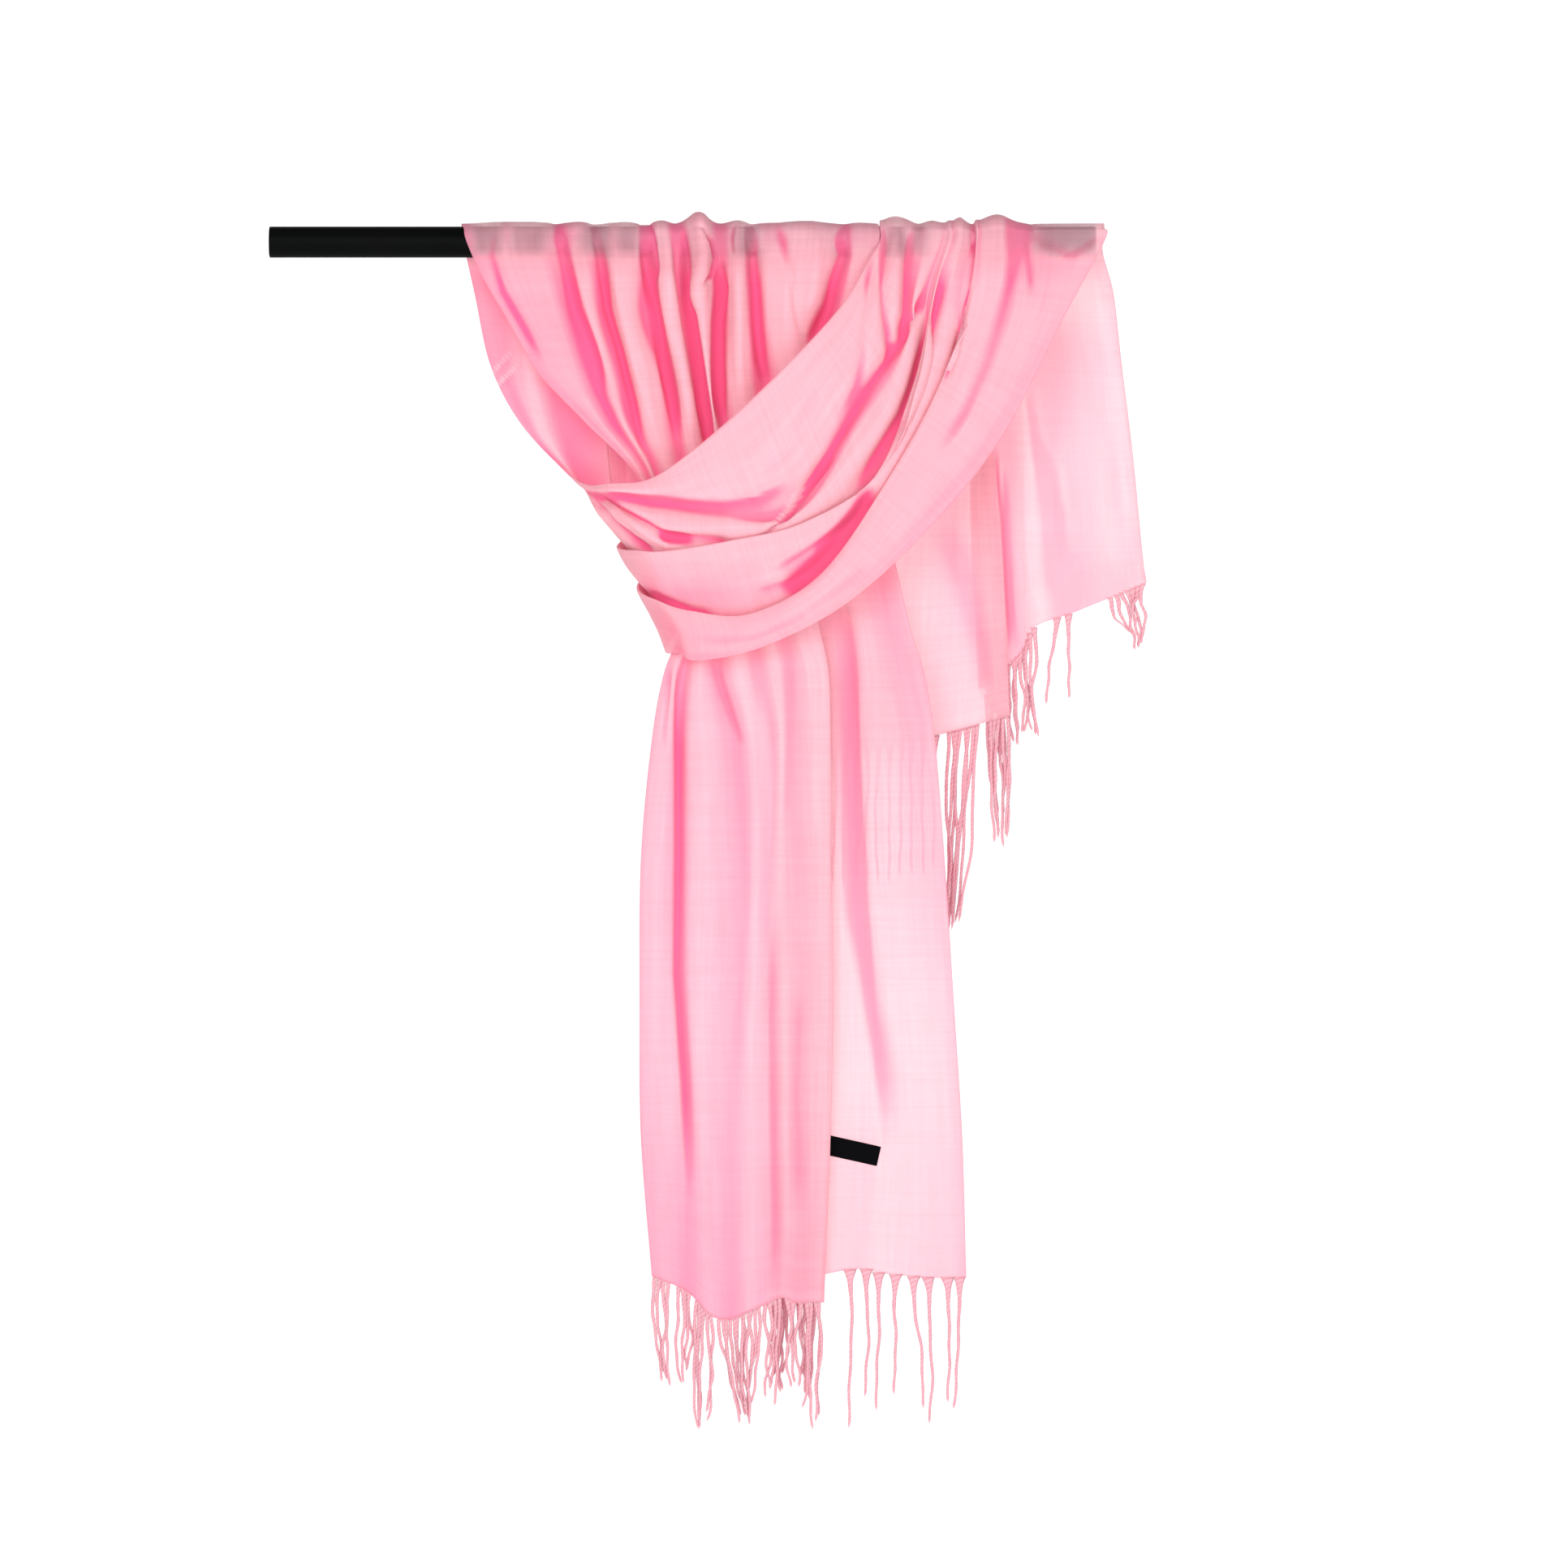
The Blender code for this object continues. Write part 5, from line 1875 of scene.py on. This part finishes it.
@dataclass
class Fringe:
    """Twisted strands along a hem.

    Attributes:
        name: The piece's name.
        node: The frame's solid that it stands for.
        hem: Points of the hem, in millimetres.
        bunches: Where the strands are rooted and where their tips hang.
        seed: Chooses the strands' small bends.
        strand: How a strand is formed.
        uneven: How much shorter a strand may be where the strands hang freely.
        sideways: How far to a side such a strand's tip may hang.
        tip_pitch: The most between the tips of a bunch.
        tip_width: The most from the first tip of a bunch to its last.
        tip_stray: How far to a side a bunch's tips stray from their places.
        tip_lift: How much higher they may end.
        tip_depth: How far to the front or back they may hang.
        bunch_bow: How much more a bunch's strands bend than a single one.
        piece: The finished piece.
    """

    name: str
    node: str
    hem: Array
    bunches: tuple[Bunch, ...]
    seed: int
    strand: Strand = Strand()
    uneven: float = 8.0
    sideways: float = 2.0
    tip_pitch: float = 1.7
    tip_width: float = 10.0
    tip_stray: float = 1.3
    tip_lift: float = 20.0
    tip_depth: float = 2.6
    bunch_bow: float = 2.0
    piece: bpy.types.Object = field(init=False)

    def build(self) -> None:
        """Make all the strands as one joined mesh."""
        chance = np.random.default_rng(self.seed)
        run = np.concatenate([[0], np.cumsum(np.linalg.norm(np.diff(self.hem, axis=0), axis=1))])
        points, faces, uvs = [], [], []
        for bunch in self.bunches:
            reach = bunch.end - bunch.start
            pitch = reach * run[-1] / bunch.strands
            shares = bunch.start + reach * ((np.arange(bunch.strands) + 0.5) / bunch.strands)
            first, last = (self.at(run, share * run[-1])[0] for share in (bunch.start, bunch.end))
            rightwards = 1.0 if last[0] >= first[0] else -1.0
            bow = self.bunch_bow if bunch.strands > 1 and bunch.end_x is not None else 1.0
            for order, share in enumerate(shares):
                root, tangent = self.at(run, share * run[-1])
                tip = self.tip(bunch, order, root, rightwards, chance)
                sway = chance.uniform(-1, 1, 4)
                line, down = self.strand.middle(root, tip, bow, sway)
                rings, uv = self.strand.around(line, down, tangent, pitch, sway[2])
                faces.append(self.skin(sum(len(p) for p in points)))
                points.append(rings.reshape(-1, 3))
                uvs.append(uv.reshape(-1, 2))
        self.piece = add_object(self.name, self.mesh(points, faces, uvs))

    def at(self, run: Array, distance: float) -> tuple[Array, Array]:
        """A place on the hem.

        Args:
            run: The distances of the hem's points from its left end.
            distance: The place's distance from there.

        Returns:
            The place, and the hem's direction there.
        """
        behind, point, ahead = (
            np.array([np.interp(distance + step, run, self.hem[:, axis]) for axis in range(3)])
            for step in (-0.5, 0.0, 0.5)
        )
        return point, (ahead - behind) / max(np.linalg.norm(ahead - behind), TINY)

    def tip(
        self,
        bunch: Bunch,
        order: int,
        root: Array,
        rightwards: float,
        chance: np.random.Generator,
    ) -> Array:
        """Where a strand's tip hangs, with the tips of a bunch side by side.

        Args:
            bunch: The strand's bunch.
            order: Its number in the bunch.
            root: Where it leaves the hem.
            rightwards: 1 where the hem runs to the right there, or -1.
            chance: Draws where the tip strays to.

        Returns:
            The tip's point.
        """
        if bunch.end_x is None:
            drop = FRINGE_LENGTH - chance.uniform(0, self.uneven)
            aside = chance.uniform(-self.sideways, self.sideways)
            return np.array([root[0] + aside, root[1], root[2] - drop])
        several = bunch.strands > 1
        spread = min(self.tip_pitch, self.tip_width / bunch.strands)
        aside = (order - (bunch.strands - 1) / 2) * spread * rightwards
        aside += chance.uniform(-self.tip_stray, self.tip_stray) * several
        lift = chance.uniform(0, self.tip_lift) if several else 0.0
        deep = root[1] + chance.uniform(-self.tip_depth, self.tip_depth) * several
        return np.array([bunch.end_x + aside, deep, bunch.end_z + lift])

    def skin(self, base: int) -> Array:
        """Four-sided faces between one strand's rings.

        Args:
            base: The number of the strand's first point.

        Returns:
            The faces' corners.
        """
        sides = self.strand.sides
        ring = np.arange(self.strand.rings - 1)[:, None] * sides
        side = np.arange(sides)[None, :]
        after = (side + 1) % sides
        quads = np.stack([ring + side, ring + sides + side, ring + sides + after, ring + after], 2)
        return quads.reshape(-1, 4) + base

    def mesh(self, points: list, faces: list, uvs: list) -> bpy.types.Mesh:
        """Join the strands into one mesh and close their ends.

        Args:
            points: The points of each strand.
            faces: Its four-sided faces.
            uvs: Its points' places round and down it.

        Returns:
            The mesh, smooth shaded, with its faces outwards.
        """
        places = np.concatenate(points) * MM
        quads = np.concatenate(faces)
        rings, sides = self.strand.rings, self.strand.sides
        caps = []
        for base in range(0, len(places), rings * sides):
            caps.append([base + side for side in range(sides)])
            caps.append([base + (rings - 1) * sides + side for side in range(sides)][::-1])
        mesh = bpy.data.meshes.new(self.name)
        mesh.from_pydata(places, [], quads.tolist() + caps)
        layer = mesh.uv_layers.new(name="threads")
        uv = np.concatenate(uvs)
        loops = np.zeros(len(mesh.loops), dtype=np.int32)
        mesh.loops.foreach_get("vertex_index", loops)
        layer.data.foreach_set("uv", uv[loops].astype(np.float32).ravel())
        mesh.shade_smooth()
        bm = bmesh.new()
        bm.from_mesh(mesh)
        bmesh.ops.recalc_face_normals(bm, faces=bm.faces)
        bm.to_mesh(mesh)
        bm.free()
        return mesh

    def dress(self, finish: YarnFinish) -> None:
        """Give the strands their finish, hide the frame's solid that they stand for, and log their
        count.
        """
        declare(self.piece, finish, self.node)
        LOG.info("%s: %d strands", self.name, sum(bunch.strands for bunch in self.bunches))


@dataclass
class Label:
    """The small woven label on the tail's right layer, left bare, in millimetres.

    Attributes:
        cloth: The tail's middle surface.
        centre_x: The label's middle.
        centre_z: Its height.
        tilt: Its angle from level.
        probe_y: A depth in front of the cloth that it lies on, behind the layer before it.
        length: Its length.
        height: Its height from edge to edge.
        columns: Points along it.
        rows: Points up it.
        thickness: Its thickness.
        lift: How far its middle surface lies off the cloth's.
        tuck: How much closer it comes at its folded edges.
        tuck_width: Share of its half length and half height in which it does.
        piece: The finished piece.
    """

    cloth: Array
    centre_x: float = 426.0
    centre_z: float = -670.0
    tilt: float = math.radians(-12.6)
    probe_y: float = -16.0
    length: float = 50.0
    height: float = 14.5
    columns: int = 40
    rows: int = 14
    thickness: float = 0.55
    lift: float = 1.15
    tuck: float = 0.45
    tuck_width: float = 0.15
    piece: bpy.types.Object = field(init=False)

    def build(self) -> None:
        """Lay the tape on the cloth, with its edges turned down."""
        probe = grid_mesh("probe", self.cloth, np.zeros(self.cloth.shape[:2] + (2,)))
        points = [vert.co.copy() for vert in probe.vertices]
        under = BVHTree.FromPolygons(points, [tuple(face.vertices) for face in probe.polygons])
        bpy.data.meshes.remove(probe)
        grid = np.zeros((self.rows, self.columns, 3))
        uv = np.zeros((self.rows, self.columns, 2))
        flat_share = 1 - self.tuck_width
        for row, up in enumerate(np.linspace(-0.5, 0.5, self.rows)):
            for column, along in enumerate(np.linspace(-0.5, 0.5, self.columns)):
                right, rise = along * self.length, up * self.height
                x = self.centre_x + right * math.cos(self.tilt) - rise * math.sin(self.tilt)
                z = self.centre_z + right * math.sin(self.tilt) + rise * math.cos(self.tilt)
                hit = under.ray_cast(Vector((x, self.probe_y, z)) * MM, Vector((0, 1, 0)))[0]
                edge = max(abs(up) * 2, abs(along) * 2)
                lift = self.lift - self.tuck * max(0.0, edge - flat_share) / self.tuck_width
                grid[row, column] = (x, hit.y / MM - lift, z)
                uv[row, column] = (right * MM, rise * MM)
        self.piece = add_object("woven_label", grid_mesh("woven_label", grid, uv))
        apply_modifier(self.piece, "SOLIDIFY", thickness=self.thickness * MM, offset=0.0)

    def dress(self, finish: LabelFinish) -> None:
        """Args:
            finish: The tape's finish.
        """
        declare(self.piece, finish, "label")
        LOG.info("%s: %.0f x %.1f mm", self.piece.name, self.length, self.height)


@dataclass
class Rod:
    """The round bar that holds the shawl, from x = 0, in millimetres.

    Attributes:
        diameter: Its diameter.
        length: Its length.
        rim: How far its rims are eased.
        sides: Faces round it.
        sharp: The least angle of an edge that is eased.
        smooth: The most that two faces may turn and still look like one.
        piece: The finished piece.
    """

    diameter: float = ROD_DIAMETER
    length: float = ROD_LENGTH
    rim: float = 0.8
    sides: int = 96
    sharp: float = math.radians(40)
    smooth: float = math.radians(35)
    piece: bpy.types.Object = field(init=False)

    def build(self) -> None:
        """Turn the bar from a cylinder, with its rims eased."""
        bpy.ops.object.select_all(action="DESELECT")
        bpy.ops.mesh.primitive_cylinder_add(
            vertices=self.sides,
            radius=self.diameter / 2 * MM,
            depth=self.length * MM,
            location=(self.length / 2 * MM, 0, 0),
            rotation=(0, math.pi / 2, 0),
        )
        self.piece = bpy.context.object
        self.piece.name = self.piece.data.name = "rod_bar"
        bpy.ops.object.transform_apply(location=True, rotation=True, scale=True)
        easing = {"segments": 3, "angle_limit": self.sharp}
        apply_modifier(
            self.piece, "BEVEL", width=self.rim * MM, limit_method="ANGLE", **easing
        )
        bpy.ops.object.shade_smooth_by_angle(angle=self.smooth)

    def dress(self, finish: RodFinish) -> None:
        """Give the bar its finish, hide the frame's solid that it stands for, and log its size."""
        declare(self.piece, finish, "rod")
        LOG.info("%s: %.0f mm of %.0f mm bar", self.piece.name, self.length, self.diameter)


@dataclass
class Lamp:
    """One soft round light: its name, place and diameter in metres, power in watts, colour."""

    name: str
    place: tuple[float, float, float]
    size: float
    power: float
    colour: tuple[float, float, float] = (1.0, 1.0, 1.0)

    def build(self, target: Vector) -> None:
        """Add the light.

        Args:
            target: The place that it is turned to.
        """
        data = bpy.data.lights.new(self.name, "AREA")
        data.shape = "DISK"
        data.size = self.size
        data.energy = self.power
        data.color = self.colour
        lamp = bpy.data.objects.new(self.name, data)
        lamp.location = self.place
        lamp.rotation_euler = (target - Vector(self.place)).to_track_quat("-Z", "Y").to_euler()
        bpy.context.scene.collection.objects.link(lamp)


@dataclass
class Studio:
    """Pale floor and backdrop, soft lights and the camera in front, in metres.

    Attributes:
        centre_x: The middle of the view.
        centre_z: Its height.
        view_width: Width of the view at y = 0.
        lens: The camera's focal length, in millimetres.
        sensor: Its sensor's width, in millimetres.
        sight: How far the camera sees.
        lit_height: The height that the lights are turned to.
        floor: The floor's height.
        paper_width: Width of the floor and of the wall.
        paper_front: Where the floor begins.
        paper_back: Where it ends and the wall begins.
        paper_height: The wall's height.
        paper_curve: How far from that corner the curve up begins.
        paper_steps: Flat strips in the curve.
        paper_sharp: The least angle that is curved.
        ambient: Strength of the even light from all sides.
        seen_ambient: Brightness of what the camera sees past the paper.
        lamps: The lights in front.
    """

    centre_x: float = 0.3804
    centre_z: float = -0.4006
    view_width: float = 1.1592
    lens: float = 200.0
    sensor: float = 36.0
    sight: float = 100.0
    lit_height: float = -0.3
    floor: float = -1.25
    paper_width: float = 27.0
    paper_front: float = -9.0
    paper_back: float = 9.0
    paper_height: float = 12.0
    paper_curve: float = 3.0
    paper_steps: int = 24
    paper_sharp: float = math.radians(30)
    ambient: float = 0.38
    seen_ambient: float = 0.93
    lamps: tuple[Lamp, ...] = (
        Lamp("key", (-0.35, -2.85, 0.4), 1.7, 61.0),
        Lamp("fill", (2.2, -2.8, -0.4), 2.4, 50.0),
    )

    def build(self) -> None:
        """Set the stage round the object."""
        self.backdrop()
        self.world()
        for lamp in self.lamps:
            lamp.build(Vector((self.centre_x, 0, self.lit_height)))
        self.camera()
        bpy.context.scene.view_settings.view_transform = "Standard"

    def world(self) -> None:
        """Even light from all sides, brighter where the camera looks straight at it."""
        world = bpy.data.worlds.new("studio")
        world.use_nodes = True
        tree = Tree(world.node_tree)
        lighting, seen = (
            tree.node("ShaderNodeBackground", Color=(1, 1, 1, 1), Strength=strength).outputs[0]
            for strength in (self.ambient, self.seen_ambient)
        )
        straight = tree.node("ShaderNodeLightPath").outputs["Is Camera Ray"]
        result = tree.node("ShaderNodeOutputWorld")
        tree.join(tree.blend(straight, lighting, seen), result.inputs["Surface"])
        bpy.context.scene.world = world

    def backdrop(self) -> None:
        """A floor that runs back and curves up into a wall."""
        bpy.ops.object.select_all(action="DESELECT")
        bpy.ops.mesh.primitive_plane_add(size=1.0, location=(0, 0, 0))
        paper = bpy.context.object
        paper.name = paper.data.name = "studio_floor"
        for vert in paper.data.vertices:
            vert.co.x = self.centre_x + vert.co.x * self.paper_width
            vert.co.z = self.floor
            vert.co.y = self.paper_front if vert.co.y < 0 else self.paper_back
        bpy.ops.object.mode_set(mode="EDIT")
        bpy.ops.mesh.select_all(action="DESELECT")
        bpy.ops.object.mode_set(mode="OBJECT")
        for edge in paper.data.edges:
            edge.select = all(paper.data.vertices[v].co.y > 0 for v in edge.vertices)
        bpy.ops.object.mode_set(mode="EDIT")
        bpy.ops.mesh.select_mode(type="EDGE")
        rise = {"value": (0, 0, self.paper_height)}
        bpy.ops.mesh.extrude_region_move(TRANSFORM_OT_translate=rise)
        bpy.ops.object.mode_set(mode="OBJECT")
        curve = {"segments": self.paper_steps, "angle_limit": self.paper_sharp}
        apply_modifier(paper, "BEVEL", width=self.paper_curve, limit_method="ANGLE", **curve)
        paper.data.shade_smooth()
        paper.data.materials.append(StudioFinish().material())

    def camera(self) -> None:
        """A long lens level with the middle of the view."""
        data = bpy.data.cameras.new("front_camera")
        data.lens = self.lens
        data.sensor_width = self.sensor
        data.clip_end = self.sight
        camera = bpy.data.objects.new("front_camera", data)
        distance = self.view_width * self.lens / self.sensor
        camera.location = (self.centre_x, -distance, self.centre_z)
        camera.rotation_euler = (math.pi / 2, 0, 0)
        bpy.context.scene.collection.objects.link(camera)
        bpy.context.scene.camera = camera


def main() -> None:
    """Build and dress every piece, then the studio."""
    logging.basicConfig(level=logging.INFO, format="%(message)s")
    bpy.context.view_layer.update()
    cloth = ClothFinish()
    sheets = [fan_sheet(), tail_sheet(), back_sheet(), sling_sheet(), flap_sheet()]
    for sheet in sheets:
        sheet.build()
    tail, flap = sheets[1], sheets[4]
    for fringe in (
        Fringe("fringe_tail_yarn", "fringe_tail", tail.grid[-1], TAIL_FRINGE, 21),
        Fringe("fringe_flap_yarn", "fringe_flap", flap.grid[-1], FLAP_FRINGE, 22),
    ):
        fringe.build()
        fringe.dress(YarnFinish())
    for sheet in sheets:
        sheet.dress(cloth)
    label = Label(tail.grid)
    label.build()
    label.dress(LabelFinish())
    rod = Rod()
    rod.build()
    rod.dress(RodFinish())
    Studio().build()


if __name__ == "__main__":
    main()
